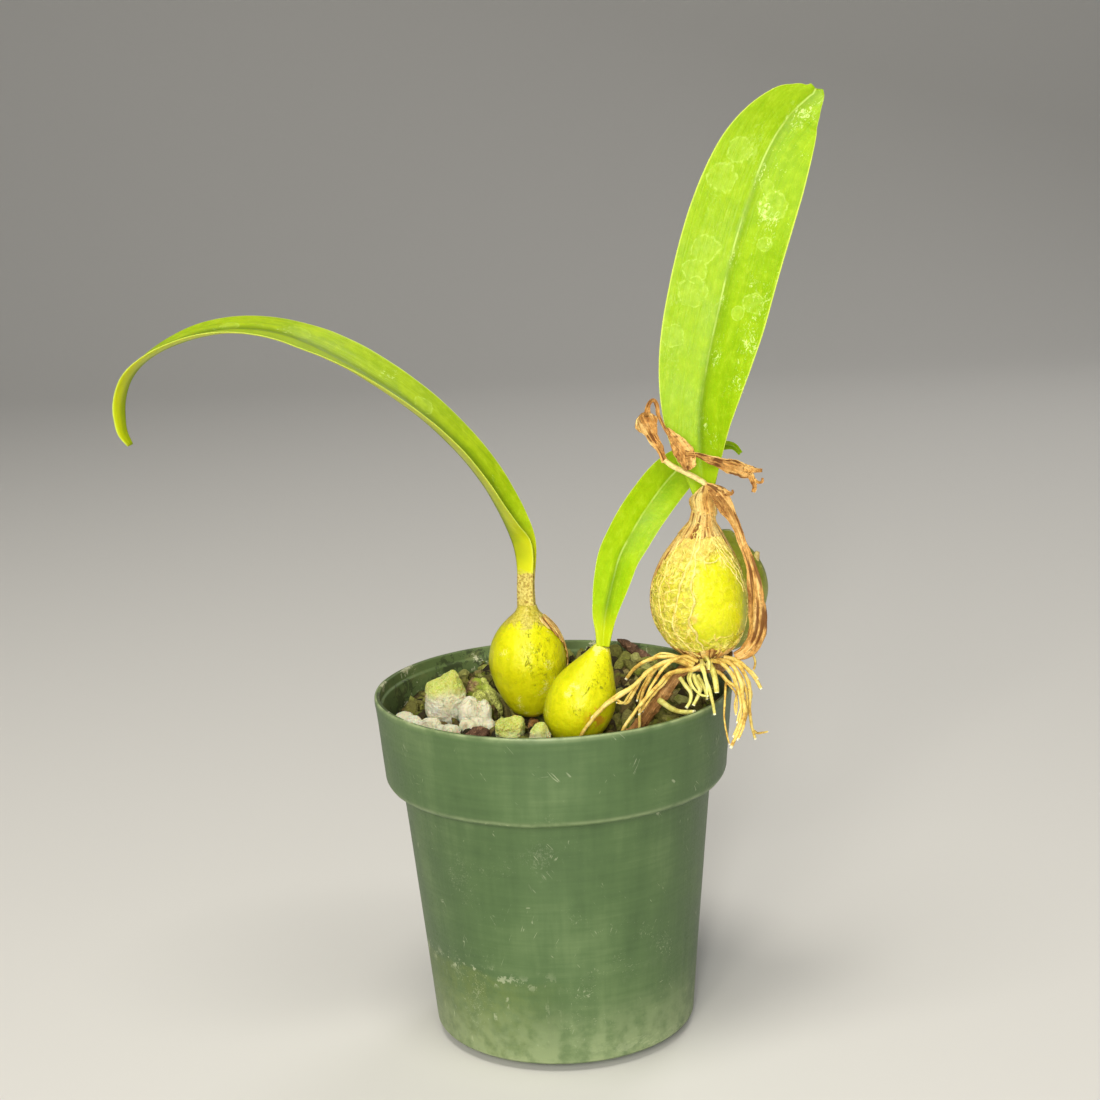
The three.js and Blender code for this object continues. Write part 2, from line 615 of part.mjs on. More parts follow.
function makeSheath() {
  const pieces = [neckCollar()];
  const stepAngle = 360 / FIBRE_COUNT;
  const sway = (k, t) => 4 * Math.sin(9 * t + 2.3 * (k % FIBRE_COUNT));
  for (let k = 0; k < FIBRE_COUNT; k += 1) {
    const angle = k * stepAngle;
    const next = angle + stepAngle;
    const bare = inWindow(angle, 0.5);
    const foot = bare ? WINDOW.head : FIBRE_FOOT;
    const points = [];
    for (let s = 0; s <= FIBRE_STEPS; s += 1) {
      const t = foot + ((FIBRE_HEAD - foot) * s) / FIBRE_STEPS;
      points.push(onRaisedBulb(angle + sway(k, t), t, SHEATH_OFF));
    }
    pieces.push(fibre(points, FIBRE * 1.15, bare ? 3 : FIBRE_STEPS));
    LINK_LEVELS.forEach((level, row) => {
      const up = (k + row) % 2;
      const t = level + 0.05 * up;
      const end = t + (up ? 0.06 : -0.06);
      if (inWindow(angle, t) || inWindow(next, t) || inWindow(angle, end) || inWindow(next, end)) {
        return;
      }
      pieces.push(
        fibre([
          onRaisedBulb(angle + sway(k, t), t, SHEATH_OFF),
          onRaisedBulb(angle + stepAngle / 2, (t + end) / 2, SHEATH_OFF),
          onRaisedBulb(next + sway(k + 1, end), end, SHEATH_OFF),
        ]),
      );
    });
  }
  const hoop = [];
  for (let k = 0; k <= 24; k += 1) {
    hoop.push(onRaisedBulb(15 * k, FIBRE_FOOT + 0.012 * (k % 2), SHEATH_OFF));
  }
  for (let k = 0; k < 24; k += 6) {
    pieces.push(fibre(hoop.slice(k, k + 7), FIBRE * 1.2, 5));
  }
  return geometryOf(largestBody(joined(pieces)));
}

// Dry ribbons: a thin blade through hand-set points, with half widths and a roll

function ribbon({ spine, halfWidth, roll, curl = 0, stations = 8 }) {
  const curve = path(spine);
  const frames = bladeFrames(curve, stations, (t) => along(roll, t));
  const edges = [-1, 0, 1];
  return closedBlade(stations, edges.length - 1, (j, i, side) => {
    const t = j / stations;
    const { spot, facing, sideways } = frames[j];
    const u = edges[i];
    const half = along(halfWidth, t);
    const wave = curl * half * (u * u - 0.4) + 0.12 * half * Math.sin(17 * t + 2.5 * u);
    return spot
      .clone()
      .addScaledVector(sideways, half * u)
      .addScaledVector(facing, wave + (side * BLADE) / 2);
  });
}

const STALK = [[37, -21.8, 132.6], [37.2, -22.4, 137], [37.4, -23.2, 141.4], [33.8, -24, 144.2], [29.4, -24.2, 147.4]];
const DRY_BLADES = [
  {
    spine: [[30.4, -24.2, 146.8], [28.2, -24.2, 150], [25.8, -24.2, 153.4], [23.6, -24.8, 156.6], [21.2, -25.2, 159.2]],
    halfWidth: [[0, 0.9], [0.4, 1.8], [0.75, 2.5], [1, 1.2]],
    roll: [[0, 100], [0.6, 118], [1, 84]],
    curl: 0.5,
  },
  {
    spine: [[23.4, -25, 157.2], [24.4, -24.6, 160], [25.9, -24.2, 162.2], [27.2, -24.2, 160.2], [28.6, -24.2, 156]],
    halfWidth: [[0, 1], [0.4, 0.8], [1, 0.7]],
    roll: [[0, 90], [1, 90]],
  },
  {
    spine: [[28.3, -24.2, 157], [29.2, -24.4, 154.2], [30.8, -24.6, 151.6], [32.6, -24.8, 149], [34.2, -25, 146.4]],
    halfWidth: [[0, 0.7], [0.35, 2], [0.7, 3], [1, 1.2]],
    roll: [[0, 80], [1, 104]],
    curl: 0.4,
  },
  {
    spine: [[33.4, -24.8, 147.8], [36.4, -24.4, 148.4], [39.4, -24, 147.9], [43.2, -23.6, 146.8], [47.6, -22.8, 145],
      [50.6, -22.2, 144.2]],
    halfWidth: [[0, 1.2], [0.2, 0.8], [0.55, 1.7], [0.85, 1.9], [1, 0.7]],
    roll: [[0, 90], [0.5, 76], [1, 100]],
    curl: 0.5,
  },
  {
    spine: [[45.6, -23.2, 146], [48.2, -22.8, 143.8], [50.2, -22.5, 142.6], [49.4, -22.2, 139.8]],
    halfWidth: [[0, 1], [0.5, 1.3], [1, 0.6]],
    roll: [[0, 96], [1, 84]],
    stations: 6,
  },
];

function makeFlowerStalk() {
  const stalk = bentRod(path(STALK), (t) => 0.75 - 0.1 * t, 6, 8);
  return geometryOf(largestBody(joined([stalk, ...DRY_BLADES.map(ribbon)])));
}

const BRACT = {
  spine: [
    [39.4, -23, 140.4], [41.6, -22, 138.4], [44.2, -21.2, 134], [45.8, -21, 129.5], [47.1, -23.4, 124.8],
    [48, -25.4, 120.6], [48.5, -26, 115.2], [48.6, -25, 108.8], [47.4, -23.2, 103.8], [45.2, -21.6, 100.8],
  ],
  halfWidth: [[0, 0.9], [0.3, 1.2], [0.5, 1.5], [0.68, 2], [0.85, 2], [1, 0.9]],
  roll: [[0, 96], [0.35, 70], [0.6, 44], [1, 40]],
  curl: -0.25,
  stations: 18,
};

// Stones and bark that lie in the mix. Each stands in a plain hollow of its own.

const STONES = {
  pumice_large: {
    center: [-27.4, 2, 85], size: [5.5, 5.2, 7.9], turn: [8, 10, 20], rough: 0.3, detail: 2, seed: 5,
    look: 'mossyPumice',
  },
  pumice_lobed: {
    center: [-19.2, -7, 82.6], size: [4.1, 3.6, 4.3], turn: [0, 0, 15], rough: 0.3, seed: 8, look: 'pumice',
  },
  pumice_green: {
    center: [-10.4, -18.6, 82.4], size: [4.2, 3.6, 4.2], rough: 0.22, seed: 3, look: 'mossyPumice',
  },
  pumice_pale: { center: [-4.2, -31, 84.9], size: [3, 2.6, 3.9], rough: 0.2, seed: 14, look: 'pumice' },
  granule_1: { center: [-37.4, -1.6, 81.2], size: [2.6, 2.2, 1.8], seed: 21, look: 'pumice' },
  granule_2: { center: [-35, -7, 81.4], size: [2.5, 2.2, 1.8], seed: 22, look: 'pumice' },
  granule_3: { center: [-30.4, -9.4, 81.4], size: [2.6, 2.2, 1.9], seed: 23, look: 'pumice' },
  granule_4: { center: [-25.6, -12.4, 81.2], size: [2.5, 2, 1.8], seed: 24, look: 'pumice' },
  bark_left: {
    center: [-19.4, 12.6, 84.4], size: [3.2, 2.4, 3.6], turn: [0, 24, 10], rough: 0.2, seed: 31, look: 'bark',
  },
  bark_mossy: {
    center: [-16.8, 2.6, 83.8], size: [1.8, 1.8, 5.4], turn: [0, -40, 0], rough: 0.12, seed: 32, look: 'mossyBark',
  },
  bark_front: {
    center: [-18.6, -19.6, 82.4], size: [3.4, 2.2, 2.1], turn: [12, 0, 24], rough: 0.18, seed: 33, look: 'bark',
  },
  bark_back: {
    center: [8.4, 27, 85], size: [4.2, 2.6, 3.4], turn: [0, 20, 30], rough: 0.18, seed: 34, look: 'bark',
  },
  bark_stick: {
    center: [22.6, 33.4, 87.4], size: [6.8, 1.8, 1.5], turn: [0, 27, -28], rough: 0.1, seed: 35, look: 'bark',
  },
};

// Potting mix: a plug that follows the pot's inside, with seeded chunks on its uneven top and a hollow for each
// bulb, stone, rhizome stretch and root end

function mixHeight(x, y) {
  const rise = MIX_RISE * smooth(-10, 40, x * 0.35 + y * 0.9);
  return MIX_LEVEL + rise + 0.6 * Math.sin(x * 0.31 + 1) * Math.cos(y * 0.27) + 0.3 * Math.sin(x * 0.7 - y * 0.5);
}

function mixPlug() {
  const collarFoot = innerCollarRadius(COLLAR_FOOT_Z) - BEAD - GAP;
  const rim = innerCollarRadius(MIX_LEVEL) - BEAD - GAP;
  const low = FOOT_STEP + WALL + GAP;
  const profile = [
    [0, low],
    [innerWallRadius(low) - 1.2, low],
    [innerWallRadius(low + 2) - GAP, low + 2],
    [innerWallRadius(WALL_TOP_Z) - GAP, WALL_TOP_Z + WALL],
    [collarFoot, COLLAR_FOOT_Z + WALL + GAP],
    [rim, MIX_LEVEL],
    [rim * 0.82, MIX_LEVEL],
    [rim * 0.62, MIX_LEVEL],
    [rim * 0.42, MIX_LEVEL],
    [rim * 0.2, MIX_LEVEL],
    [0, MIX_LEVEL],
  ];
  const plug = turned(profile, POT_SIDES / 2);
  const p = plug.attributes.position;
  for (let i = 0; i < p.count; i += 1) {
    if (p.getZ(i) > MIX_LEVEL - 0.01) {
      p.setZ(i, mixHeight(p.getX(i), p.getY(i)));
    }
  }
  return plug;
}

function mixChunks() {
  const draw = seeded(MIX_SEED);
  const reach = innerCollarRadius(MIX_LEVEL) - BEAD - GAP - 3.4;
  const chunks = [];
  for (let i = 0; i < MIX_CHUNKS; i += 1) {
    const far = reach * Math.sqrt(draw());
    const angle = 2 * Math.PI * draw();
    const x = far * Math.cos(angle);
    const y = far * Math.sin(angle);
    const wide = 1.5 + 1.5 * draw();
    chunks.push(
      lump({
        center: [x, y, mixHeight(x, y) + 0.2 * wide],
        size: [wide * 1.25, wide * 0.9, wide * 0.75],
        turn: [50 * draw(), 50 * draw(), 180 * draw()],
        rough: 0.2,
        detail: 0,
        seed: 100 + i,
      }),
    );
  }
  return chunks;
}

function makeMix() {
  const hollows = [
    bulbBody(BULBS.left, GAP),
    bulbBody(BULBS.front, GAP),
    ...rhizomeParts(GAP),
    ...Object.values(STONES).map((stone) => lump({ ...stone, grow: GAP })),
  ];
  for (const { strands } of Object.values(ROOTS)) {
    for (const [radius, points] of strands) {
      const buried = points.slice(-4);
      if (points.at(-1)[2] < MIX_LEVEL + MIX_RISE && Math.hypot(points.at(-1)[0], points.at(-1)[1]) < RIM_RADIUS) {
        const tip = points.at(-1);
        buried.push([tip[0], tip[1], tip[2] - 2 * GAP]);
        hollows.push(bentRod(path(buried), () => radius + GAP + 0.1, ROOT_SIDES, 4));
      }
    }
  }
  const plug = joined([mixPlug(), ...mixChunks()]);
  return geometryOf(largestBody(plug.subtract(joined(hollows))));
}

// The plant in its pot

const plant = new THREE.Group();
plant.name = 'potted_bulbophyllum_cupreum';

function put(name, geometry, material) {
  const mesh = new THREE.Mesh(facingOut(geometry), material);
  mesh.name = name;
  plant.add(mesh);
}

put('pot', makePot(), matte(COLORS.pot, 0.42));
put('potting_mix', makeMix(), matte(COLORS.mix, 0.95));
for (const [name, stone] of Object.entries(STONES)) {
  put(name, lump(stone), matte(COLORS[stone.look], 0.95));
}
put('pseudobulb_left', bulbBody(BULBS.left), matte(COLORS.bulb, 0.4));
put('pseudobulb_front', bulbBody(BULBS.front), matte(COLORS.bulb, 0.4));
put('pseudobulb_raised', bulbBody(BULBS.raised), matte(COLORS.bulb, 0.4));
put('pseudobulb_back', makeBackBulb(), matte(COLORS.oliveBulb, 0.5));
for (const [name, leaf] of Object.entries(LEAVES)) {
  put(name, strapLeaf(leaf), matte(COLORS.leaf, 0.45));
}
put('rhizome', geometryOf(joined(rhizomeParts())), matte(COLORS.rhizome, 0.9));
put('roots_left', makeRoots(ROOTS.roots_left, 1), matte(COLORS.root, 0.7));
put('roots_middle', makeRoots(ROOTS.roots_middle, 2), matte(COLORS.paleRoot, 0.7));
put('roots_right', makeRoots(ROOTS.roots_right, 3), matte(COLORS.root, 0.7));
put('dry_sheath', makeSheath(), matte(COLORS.sheath, 0.85));
put('dry_flower_stalk', makeFlowerStalk(), matte(COLORS.dry, 0.85));
put('dry_bract', ribbon(BRACT), matte(COLORS.dry, 0.85));

export default plant;
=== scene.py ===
# Looks of a potted bulbophyllum cupreum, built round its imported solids.
# Blender works in metres. The tables below are in millimetres, in the same frame as the solids: +Z up, the
# origin at the centre of the pot's foot, and the viewer looks along +Y.

import math
import random

import bmesh
import bpy
import numpy as np
from mathutils import Matrix, Vector


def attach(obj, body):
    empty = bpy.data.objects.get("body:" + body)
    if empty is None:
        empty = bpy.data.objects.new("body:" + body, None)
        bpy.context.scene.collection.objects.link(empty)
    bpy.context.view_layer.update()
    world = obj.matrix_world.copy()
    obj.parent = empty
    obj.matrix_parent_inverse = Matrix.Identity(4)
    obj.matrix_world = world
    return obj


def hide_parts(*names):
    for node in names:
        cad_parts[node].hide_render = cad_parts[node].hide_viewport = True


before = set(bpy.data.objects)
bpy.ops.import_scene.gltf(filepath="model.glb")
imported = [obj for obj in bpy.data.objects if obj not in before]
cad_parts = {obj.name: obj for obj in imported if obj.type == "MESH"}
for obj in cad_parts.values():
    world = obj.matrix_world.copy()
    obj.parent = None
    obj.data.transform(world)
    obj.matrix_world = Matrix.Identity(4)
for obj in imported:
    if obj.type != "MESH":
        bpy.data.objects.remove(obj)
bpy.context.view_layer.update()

MM = 0.001

# Camera and stage

VIEW_PITCH = math.radians(12.07)
VIEW_ROLL = math.radians(-2.29)
VIEW_DISTANCE = 0.4931
VIEW_AIM = Vector((0.0006, 0.0, 0.123))
VIEW_LENS = 65.45


def place_camera():
    ahead = Vector((0, math.cos(VIEW_PITCH), -math.sin(VIEW_PITCH)))
    level_up = Vector((0, math.sin(VIEW_PITCH), math.cos(VIEW_PITCH)))
    right = math.cos(VIEW_ROLL) * Vector((1, 0, 0)) + math.sin(VIEW_ROLL) * level_up
    up = -math.sin(VIEW_ROLL) * Vector((1, 0, 0)) + math.cos(VIEW_ROLL) * level_up
    data = bpy.data.cameras.new("camera")
    data.lens = VIEW_LENS
    data.sensor_width = 36
    data.clip_start = 0.01
    camera = bpy.data.objects.new("camera", data)
    turn = Matrix((right, up, -ahead)).transposed().to_4x4()
    camera.matrix_world = Matrix.Translation(VIEW_AIM - ahead * VIEW_DISTANCE) @ turn
    bpy.context.collection.objects.link(camera)
    bpy.context.scene.camera = camera


def soft_light(name, place, aim, width, height, power, tint):
    data = bpy.data.lights.new(name, "AREA")
    data.shape = "ELLIPSE"
    data.size = width
    data.size_y = height
    data.energy = power
    data.color = tint
    lamp = bpy.data.objects.new(name, data)
    lamp.location = place
    lamp.rotation_euler = (Vector(aim) - Vector(place)).to_track_quat("-Z", "Y").to_euler()
    bpy.context.collection.objects.link(lamp)


# Node helpers: nodes are written from left to right


class Wire:
    """An output of a node. Arithmetic on wires writes Math nodes."""

    def __init__(self, paint, socket):
        self.paint = paint
        self.socket = socket

    def __add__(self, other):
        return self.paint.calc("ADD", self, other)

    def __sub__(self, other):
        return self.paint.calc("SUBTRACT", self, other)

    def __mul__(self, other):
        return self.paint.calc("MULTIPLY", self, other)

    def __truediv__(self, other):
        return self.paint.calc("DIVIDE", self, other)

    def __abs__(self):
        return self.paint.calc("ABSOLUTE", self)


class Paint:
    """Writes the nodes of one material, shader group or geometry tree."""

    def __init__(self, tree):
        self.tree = tree

    def feed(self, socket, value):
        if isinstance(value, Wire):
            self.tree.links.new(value.socket, socket)
        elif socket.type == "RGBA" and len(value) == 3:
            socket.default_value = (*value, 1)
        else:
            socket.default_value = value

    def node(self, kind, inputs, **settings):
        made = self.tree.nodes.new(kind)
        for key, value in settings.items():
            setattr(made, key, value)
        for key, value in inputs.items():
            self.feed(made.inputs[key], value)
        return made

    def wire(self, kind, inputs, out=0, **settings):
        return Wire(self, self.node(kind, inputs, **settings).outputs[out])

    def calc(self, operation, a, b=0.0):
        return self.wire("ShaderNodeMath", {0: a, 1: b}, operation=operation)

    def vector(self, operation, a, b=(0.0, 0.0, 0.0), scale=1.0):
        return self.wire("ShaderNodeVectorMath", {0: a, 1: b, 3: scale}, operation=operation)

    def strongest(self, masks):
        best = 0.0
        for mask in masks:
            best = self.calc("MAXIMUM", best, mask)
        return best

    def span(self, value, low, high, start=0.0, end=1.0):
        """value from low..high becomes start..end, eased and held at both ends."""
        if not isinstance(low, Wire) and low > high:
            low, high, start, end = high, low, end, start
        inputs = {"Value": value, "From Min": low, "From Max": high, "To Min": start, "To Max": end}
        return self.wire("ShaderNodeMapRange", inputs, interpolation_type="SMOOTHSTEP")

    def tint(self, amount, a, b):
        return self.wire("ShaderNodeMix", {0: amount, 6: a, 7: b}, 2, data_type="RGBA")

    def ramp(self, value, stops):
        ramp = self.node("ShaderNodeValToRGB", {0: value})
        bands = ramp.color_ramp.elements
        while len(bands) < len(stops):
            bands.new(0.5)
        for band, (at, colour) in zip(bands, stops):
            band.position = at
            band.color = (*colour, 1)
        return Wire(self, ramp.outputs[0])

    def noise(self, place, scale, detail=3.0, rough=0.55, twist=0.0, out="Fac"):
        inputs = {"Vector": place, "Scale": scale, "Detail": detail, "Roughness": rough, "Distortion": twist}
        return self.wire("ShaderNodeTexNoise", inputs, out)

    def push(self, place, scale, amount):
        """A slow random push of up to about amount, for each place."""
        centred = self.vector("SUBTRACT", self.noise(place, scale, 2.0, 0.5, out="Color"), (0.5, 0.5, 0.5))
        return self.vector("SCALE", centred, scale=amount)

    def stretch(self, place, x, y, z):
        return self.vector("MULTIPLY", place, (x, y, z))

    def object_place(self):
        return self.wire("ShaderNodeTexCoord", {}, "Object")

    def mark(self, name, out="Fac"):
        """A number that the mesh carries at each point, or with out="Vector" a place."""
        return self.wire("ShaderNodeAttribute", {}, out, attribute_name=name)

    def axis(self, place, index):
        return self.wire("ShaderNodeSeparateXYZ", {0: place}, index)

    def effect(self, group, **inputs):
        """Places a shader group and gives its outputs."""
        made = self.node("ShaderNodeGroup", {}, node_tree=group)
        for key, value in inputs.items():
            self.feed(made.inputs[key.replace("_", " ")], value)
        wires = [Wire(self, socket) for socket in made.outputs]
        return wires if len(wires) > 1 else wires[0]

    def relief(self, height, depth):
        return self.wire("ShaderNodeBump", {"Height": height, "Distance": depth, "Strength": 1.0})


def new_finish(name, **constants):
    """A material with one Principled shader, whose plain values are set on its own sockets."""
    material = bpy.data.materials.new(name)
    material.use_nodes = True
    paint = Paint(material.node_tree)
    paint.material = material
    paint.shader = material.node_tree.nodes["Principled BSDF"]
    for key, value in constants.items():
        paint.feed(paint.shader.inputs[key.replace("_", " ")], value)
    return paint


def finished(paint, colour, roughness, normal=None):
    paint.feed(paint.shader.inputs["Base Color"], colour)
    paint.feed(paint.shader.inputs["Roughness"], roughness)
    if normal is not None:
        paint.feed(paint.shader.inputs["Normal"], normal)
    return paint.material


def new_group(name, kind, inputs, outputs):
    """An empty node group. inputs are (name, socket kind, value), outputs are (name, socket kind)."""
    tree = bpy.data.node_groups.new(name, kind)
    for label, sort, value in inputs:
        socket = tree.interface.new_socket(label, in_out="INPUT", socket_type=f"NodeSocket{sort}")
        if value is not None:
            socket.default_value = value
    for label, sort in outputs:
        tree.interface.new_socket(label, in_out="OUTPUT", socket_type=f"NodeSocket{sort}")
    paint = Paint(tree)
    paint.given = {socket.name: Wire(paint, socket) for socket in tree.nodes.new("NodeGroupInput").outputs}
    paint.result = tree.nodes.new("NodeGroupOutput").inputs
    return paint


def make_dried_drop():
    """A pale outline and a faint film where one drop dried."""
    inputs = [("Place", "Vector", None), ("Centre", "Vector", None), ("Size", "Float", 0.003)]
    p = new_group("dried drop", "ShaderNodeTree", inputs, [("Mask", "Float")])
    place = p.given["Place"]
    off = p.vector("SUBTRACT", place, p.given["Centre"])
    far = p.wire("ShaderNodeVectorMath", {0: off}, "Value", operation="LENGTH") / p.given["Size"]
    far = far + (p.noise(place, 330.0, 3.0, 0.65) - 0.5) * 0.95
    ring = p.span(abs(far - 0.95), 0.12, 0.02) * p.span(p.noise(place, 900.0, 2.0), 0.38, 0.6, 0.15, 1.0)
    film = p.span(far, 1.0, 0.85) * p.span(p.noise(place, 600.0, 3.0), 0.3, 0.7, 0.08, 0.42)
    p.feed(p.result["Mask"], p.strongest([ring, film]))
    return p.tree


def make_specks():
    """Small irregular dots that gather in patches."""
    inputs = [
        ("Place", "Vector", None), ("Scale", "Float", 900.0), ("Patch Scale", "Float", 120.0),
        ("Cover", "Float", 0.4), ("Gather", "Float", 1.5),
    ]
    p = new_group("specks", "ShaderNodeTree", inputs, [("Mask", "Float")])
    dots = p.noise(p.given["Place"], p.given["Scale"], 4.0, 0.7, 1.2)
    patch = p.noise(p.given["Place"], p.given["Patch Scale"], 2.0)
    level = (patch - 0.5) * p.given["Gather"] + dots
    start = p.given["Cover"] * -0.4 + 0.9
    p.feed(p.result["Mask"], p.span(level, start, start + 0.05))
    return p.tree


def make_scratches():
    """Long thin hairlines in one direction, kept only here and there."""
    inputs = [("Place", "Vector", None), ("Turn", "Float", 0.5), ("Cover", "Float", 0.3)]
    p = new_group("scratches", "ShaderNodeTree", inputs, [("Mask", "Float")])
    turned = p.wire("ShaderNodeVectorRotate", {"Vector": p.given["Place"], "Angle": p.given["Turn"]})
    lines = p.noise(p.stretch(turned, 420.0, 24.0, 420.0), 1.0, 2.0, 0.5, 0.25)
    line = p.span(abs(lines - 0.5), 0.014, 0.003)
    kept = p.span(p.given["Cover"] * 0.2 + p.noise(turned, 150.0, 3.0, 0.6), 0.7, 0.76)
    p.feed(p.result["Mask"], line * kept)
    return p.tree


def make_fibre_grain():
    """Fine wavy lines along a piece, from a place of (across, along, 0)."""
    inputs = [("Place", "Vector", None), ("Across", "Float", 900.0), ("Along", "Float", 60.0)]
    p = new_group("fibre grain", "ShaderNodeTree", inputs, [("Shade", "Float"), ("Ridge", "Float")])
    across = p.given["Across"]
    spread = p.wire("ShaderNodeCombineXYZ", {0: across, 1: p.given["Along"], 2: across})
    place = p.vector("MULTIPLY", p.given["Place"], spread)
    fine = p.noise(place, 1.0, 4.0, 0.6, 0.6)
    wide = p.noise(place, 0.3, 2.0, 0.5, 0.3)
    p.feed(p.result["Shade"], wide * 0.5 + fine * 0.5)
    p.feed(p.result["Ridge"], p.span(abs(fine - 0.5), 0.0, 0.12))
    return p.tree


DRIED_DROP = make_dried_drop()
SPECKS = make_specks()
SCRATCHES = make_scratches()
FIBRE_GRAIN = make_fibre_grain()


# Finishes: colours are linear, sizes in metres, and a noise's scale is in lumps per metre

BLACK = (0.0, 0.0, 0.0)
BED_BROWNS = [(0.3, (0.02, 0.016, 0.006)), (0.52, (0.08, 0.062, 0.022)), (0.75, (0.2, 0.17, 0.06))]
BULB_BEIGES = [(0.37, (0.34, 0.23, 0.03)), (0.5, (0.58, 0.5, 0.06)), (0.66, (0.72, 0.64, 0.11))]
FOOT_BEIGES = [(0.38, (0.36, 0.22, 0.04)), (0.5, (0.68, 0.56, 0.13)), (0.66, (0.82, 0.73, 0.24))]
# Dull olive under the old sheath; its darker tones are painted shade between the sheath's raised veins.
SHEATH_SHADE_TONES = [(0.38, (0.26, 0.24, 0.006)), (0.5, (0.5, 0.5, 0.012)), (0.6, (0.74, 0.68, 0.06))]
POT_GREENS = [(0.3, (0.048, 0.098, 0.028)), (0.5, (0.078, 0.142, 0.045)), (0.7, (0.14, 0.216, 0.082))]
# Dried drops on the pot: round its wall, up and size in mm. Hairlines: turn and cover.
POT_DROPS = [(-6.5, 35.5, 3.6), (3.0, 41.5, 3.0), (18.5, 35.0, 3.4), (-27.0, 44.0, 4.0), (9.0, 20.0, 2.6)]
POT_HAIRLINES = [(0.45, 0.42), (-0.6, 0.36), (1.5, 0.1)]
TIDE_HEIGHT = 0.0245
CRUMB_KINDS = [
    (0.0, (0.03, 0.024, 0.01)), (0.18, (0.1, 0.072, 0.024)), (0.34, (0.22, 0.155, 0.05)),
    (0.5, (0.19, 0.19, 0.04)), (0.64, (0.35, 0.33, 0.075)), (0.78, (0.46, 0.38, 0.14)),
    (0.9, (0.34, 0.37, 0.06)), (0.97, (0.6, 0.6, 0.19)),
]


def mixed(a, b, share):
    return tuple(x + (y - x) * share for x, y in zip(a, b))


def pot_green(p, place, wrap):
    """Nursery plastic with clouds, flow streaks and fine rings: its colour, its clouds and its relief."""
    streaks = p.noise(p.stretch(wrap, 1, 0.05, 1), 260.0, 3.0, 0.6)
    rings = p.noise(p.stretch(wrap, 0.06, 1, 1), 900.0, 2.0)
    cloud = p.noise(place, 45.0, 4.0, 0.6)
    shade = cloud * 0.58 + streaks * 0.26 + rings * 0.16
    return p.ramp(shade, POT_GREENS), cloud, streaks * 1.2 + rings * 0.35


def pot_outside():
    """The outer wall, soaked below a tide mark at the left, with salt, scuffs, hairlines, dried water, and
    pale edges that are part wear and part painted highlight.
    """
    p = new_finish("pot_outside", Specular_IOR_Level=0.5)
    place = p.object_place()
    wrap = p.mark("wrap", "Vector")
    height = p.axis(place, 2)
    colour, cloud, flow = pot_green(p, place, wrap)
    left = p.span(p.axis(place, 0), 0.004, -0.022, 0.04, 1.0)
    right = p.span(p.axis(place, 0), 0.0, 0.022, 0.1, 0.5)
    edge = (p.noise(wrap, 55.0, 4.0, 0.7) - 0.5) * 0.009 + height
    tide = p.span(edge, TIDE_HEIGHT + 0.001, TIDE_HEIGHT - 0.001)
    mottle = p.span(p.noise(place, 420.0, 4.0, 0.7), 0.32, 0.64, 0.3, 1.0)
    colour = p.tint(tide * mottle * left * 0.45, colour, (0.17, 0.22, 0.045))
    crusty = p.effect(SPECKS, Place=wrap, Scale=800.0, Patch_Scale=260.0, Cover=0.8)
    crust = p.span(abs(edge - TIDE_HEIGHT), 0.0032, 0.0002) * crusty * left
    drips = p.span(p.noise(p.stretch(wrap, 1, 0.03, 1), 420.0, 2.0), 0.62, 0.68) * crusty * tide * left
    salt = p.effect(SPECKS, Place=place, Scale=1500.0, Patch_Scale=70.0, Cover=0.46, Gather=0.8)
    salt = salt * p.span(height, 0.07, 0.015, 0.35, 1.0)
    scuff = p.effect(SPECKS, Place=p.stretch(wrap, 0.35, 1, 1), Scale=1300.0, Patch_Scale=150.0, Cover=0.75)
    scuff = scuff * p.span(cloud * 0.012 + height, 0.018, 0.006) * right
    whites = [crust * 0.6, drips * 0.55, salt * 0.34, scuff]
    for turn, cover in POT_HAIRLINES:
        whites.append(p.effect(SCRATCHES, Place=wrap, Turn=turn, Cover=cover) * 0.45)
    for across, up, size in POT_DROPS:
        centre = (across * MM, up * MM, 0.0)
        whites.append(p.effect(DRIED_DROP, Place=wrap, Centre=centre, Size=size * MM) * 0.22)
    white = p.strongest(whites)
    colour = p.tint(white, colour, (0.5, 0.54, 0.36))
    # Pale edges, part wear and part painted highlight, along the rim, the collar's foot and the wall's foot.
    worn = p.mark("rim") * p.span(p.noise(place, 260.0, 4.0), 0.3, 0.62, 0.3, 1.0)
    colour = p.tint(worn * 0.7, colour, (0.42, 0.5, 0.26))
    dust = p.noise(place, 1500.0, 3.0, 0.7)
    rough = p.span(cloud, 0.3, 0.7, 0.42, 0.5) + p.span(dust, 0.4, 0.7) * 0.1 + white * 0.3
    return finished(p, colour, rough, p.relief(flow + dust * 0.4, 0.00008))


def pot_inside():
    """The inner wall, dull, with algae, dark grime and crusts of salt."""
    p = new_finish("pot_inside", Specular_IOR_Level=0.5)
    place = p.object_place()
    colour, cloud, _ = pot_green(p, place, p.mark("wrap", "Vector"))
    colour = p.tint(0.4, colour, (0.17, 0.22, 0.07))
    grime = p.effect(SPECKS, Place=place, Scale=330.0, Patch_Scale=70.0, Cover=0.85)
    colour = p.tint(grime * 0.7, colour, (0.03, 0.04, 0.015))
    film = p.span(p.noise(place, 160.0, 4.0, 0.65), 0.52, 0.72, 0.0, 0.5)
    colour = p.tint(film, colour, (0.26, 0.27, 0.1))
    crust = p.effect(SPECKS, Place=place, Scale=700.0, Patch_Scale=120.0, Cover=0.42)
    colour = p.tint(crust * 0.75, colour, (0.62, 0.62, 0.42))
    dust = p.noise(place, 1500.0, 3.0, 0.7)
    return finished(p, colour, p.span(cloud, 0.3, 0.7, 0.55, 0.75), p.relief(dust, 0.00006))


